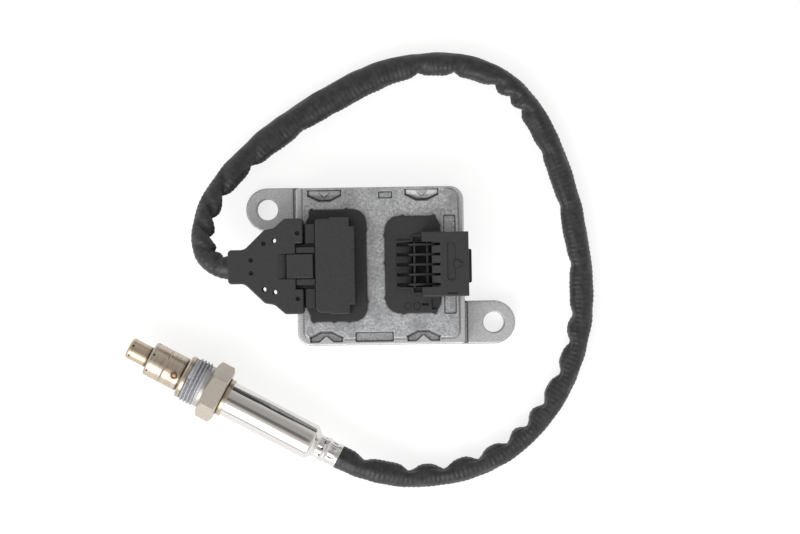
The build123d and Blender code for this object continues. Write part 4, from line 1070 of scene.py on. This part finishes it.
@dataclass
class Studio:
    """Pale floor, soft light and the camera.

    Attributes:
        eye: The camera's place, in mm.
        turn: The camera's turn about the vertical, in degrees.
        lens: Its focal length, in mm, on a sensor 36 mm wide.
        floor_size: Side of the floor, in m.
        floor_tone: The floor's own colour.
        floor_glow: Light that lifts the floor to white where it is seen or mirrored.
        box_place: Place of the soft box, in m.
        box_size: Its two sides, in m.
        box_power: Its power, in W.
        walls: Colour of the walls.
        shades: Darker parts of the walls.
    """

    eye: Triple = (8.163, -0.597, 1100.0)
    turn: float = -0.93
    lens: float = 116.685
    floor_size: float = 8.0
    floor_tone: str = "#A6A6A6"
    floor_glow: float = 0.75
    box_place: Triple = (-0.52, -0.96, 0.8)
    box_size: tuple[float, float] = (1.3, 1.0)
    box_power: float = 11.5
    walls: str = "#E6E6E5"
    shades: tuple[Shade, ...] = (
        Shade((0.18, 0.33, 0.93), 0.68, 0.93, "#C9C7C5"),
        Shade((0.02, 0.04, 1.0), 0.972, 0.994, "#ABA7A4"),
        Shade((0.477, 0.878, 0.02), 0.955, 0.985, "#4A4846"))

    def sky(self) -> None:
        """Makes the surroundings: pale walls with darker parts, and white where the camera looks.

        Mirrored, the walls show as they are and not as white, which gives the polished sleeve its streaks.
        """
        world = bpy.data.worlds.new("studio")
        bpy.context.scene.world = world
        world.use_nodes = True
        tree = world.node_tree
        out = tree.nodes["World Output"]
        back = tree.nodes["Background"]
        place = add(tree, "ShaderNodeTexCoord", {}, {}).outputs["Generated"]
        light = None
        for shade in self.shades:
            middle = Vector(shade.aim).normalized()
            dot = add(tree, "ShaderNodeVectorMath", {"operation": "DOT_PRODUCT", 1: middle}, {0: place})
            ramp = add(tree, "ShaderNodeValToRGB", {}, {"Fac": dot.outputs["Value"]})
            ends = ((shade.start, WHITE), (shade.full, linear(shade.tone)))
            for stop, (position, tone) in zip(ramp.color_ramp.elements, ends):
                stop.position = position
                stop.color = tone
            under = {6: light} if light else {}
            settings = {"data_type": "RGBA", "blend_type": "MULTIPLY", 0: 1.0, 6: linear(self.walls)}
            light = add(tree, "ShaderNodeMix", settings, {**under, 7: ramp.outputs["Color"]}).outputs[2]
        tree.links.new(light, back.inputs["Color"])
        white = add(tree, "ShaderNodeBackground", {"Color": WHITE, "Strength": 1.0}, {})
        seen = seen_by(tree, ("Is Camera Ray", "Is Transmission Ray"))
        both = add(tree, "ShaderNodeMixShader", {}, {0: seen, 1: back.outputs[0], 2: white.outputs[0]})
        tree.links.new(both.outputs[0], out.inputs["Surface"])

    def floor(self) -> None:
        """Makes the pale floor, which looks white and keeps the sensor's shadow."""
        material = bpy.data.materials.new("Painted studio floor")
        material.use_nodes = True
        tree = material.node_tree
        shader = tree.nodes["Principled BSDF"]
        shader.inputs["Base Color"].default_value = linear(self.floor_tone)
        shader.inputs["Roughness"].default_value = 0.9
        shader.inputs["Specular IOR Level"].default_value = 0.1
        glow = add(tree, "ShaderNodeEmission", {"Color": WHITE, "Strength": self.floor_glow}, {})
        seen = seen_by(tree, ("Is Camera Ray", "Is Glossy Ray", "Is Transmission Ray"))
        none = add(tree, "ShaderNodeEmission", {"Strength": 0.0}, {})
        part = add(tree, "ShaderNodeMixShader", {}, {0: seen, 1: none.outputs[0], 2: glow.outputs[0]})
        both = add(tree, "ShaderNodeAddShader", {}, {0: shader.outputs[0], 1: part.outputs[0]})
        tree.links.new(both.outputs[0], tree.nodes["Material Output"].inputs["Surface"])
        shape = bmesh.new()
        bmesh.ops.create_grid(shape, x_segments=4, y_segments=4, size=self.floor_size / 2)
        bmesh.ops.translate(shape, vec=(0, 0, -0.0002), verts=shape.verts)
        piece("studio_floor", shape, material)

    def soft_box(self) -> None:
        """Adds the soft box, which points at the sensor."""
        light = bpy.data.lights.new("front_soft_box", "AREA")
        light.shape = "RECTANGLE"
        light.size, light.size_y = self.box_size
        light.energy = self.box_power
        lamp = bpy.data.objects.new("front_soft_box", light)
        lamp.location = self.box_place
        lamp.rotation_euler = Vector(self.box_place).to_track_quat("Z", "Y").to_euler()
        bpy.context.scene.collection.objects.link(lamp)

    def camera(self) -> None:
        """Sets the camera above the sensor, as in the photograph."""
        data = bpy.data.cameras.new("camera")
        data.sensor_width = 36.0
        data.lens = self.lens
        data.clip_start = 0.01
        camera = bpy.data.objects.new("camera", data)
        camera.location = Vector(self.eye) * MM
        camera.rotation_euler = (0.0, 0.0, math.radians(self.turn))
        bpy.context.scene.collection.objects.link(camera)
        bpy.context.scene.camera = camera

    def build(self) -> None:
        """Sets everything round the sensor."""
        self.sky()
        self.floor()
        self.soft_box()
        self.camera()
        bpy.context.scene.view_settings.view_transform = "Standard"
        log.info("studio ready")


def dress(finish: Finish, nodes: tuple[str, ...]) -> bpy.types.Material:
    """Gives the solids of some nodes their finish.

    Args:
        finish: The finish.
        nodes: The nodes' names.

    Returns:
        The material.
    """
    material = finish.material()
    for name in nodes:
        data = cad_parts[name].data
        data.materials.clear()
        data.materials.append(material)
    log.info("%s: %s", finish.name, ", ".join(nodes))
    return material


def main() -> None:
    """Builds the sensor's looks, piece by piece."""
    logging.basicConfig(level=logging.INFO, format="%(message)s")
    for finish, nodes in DRESS:
        dress(finish, nodes)
    UnionNut().build(dress(PASTED_NUT, ("union_nut",)))
    CrimpedSleeve().build(dress(POLISHED_STEEL, ("rear_sleeve",)))
    WeldSpot().build(dress(OUTER_TUBE, ("outer_protection_tube",)))
    CableSleeve().build(dress(RIBBED_SLEEVE, ("cable",)))
    Studio().build()


if __name__ == "__main__":
    main()
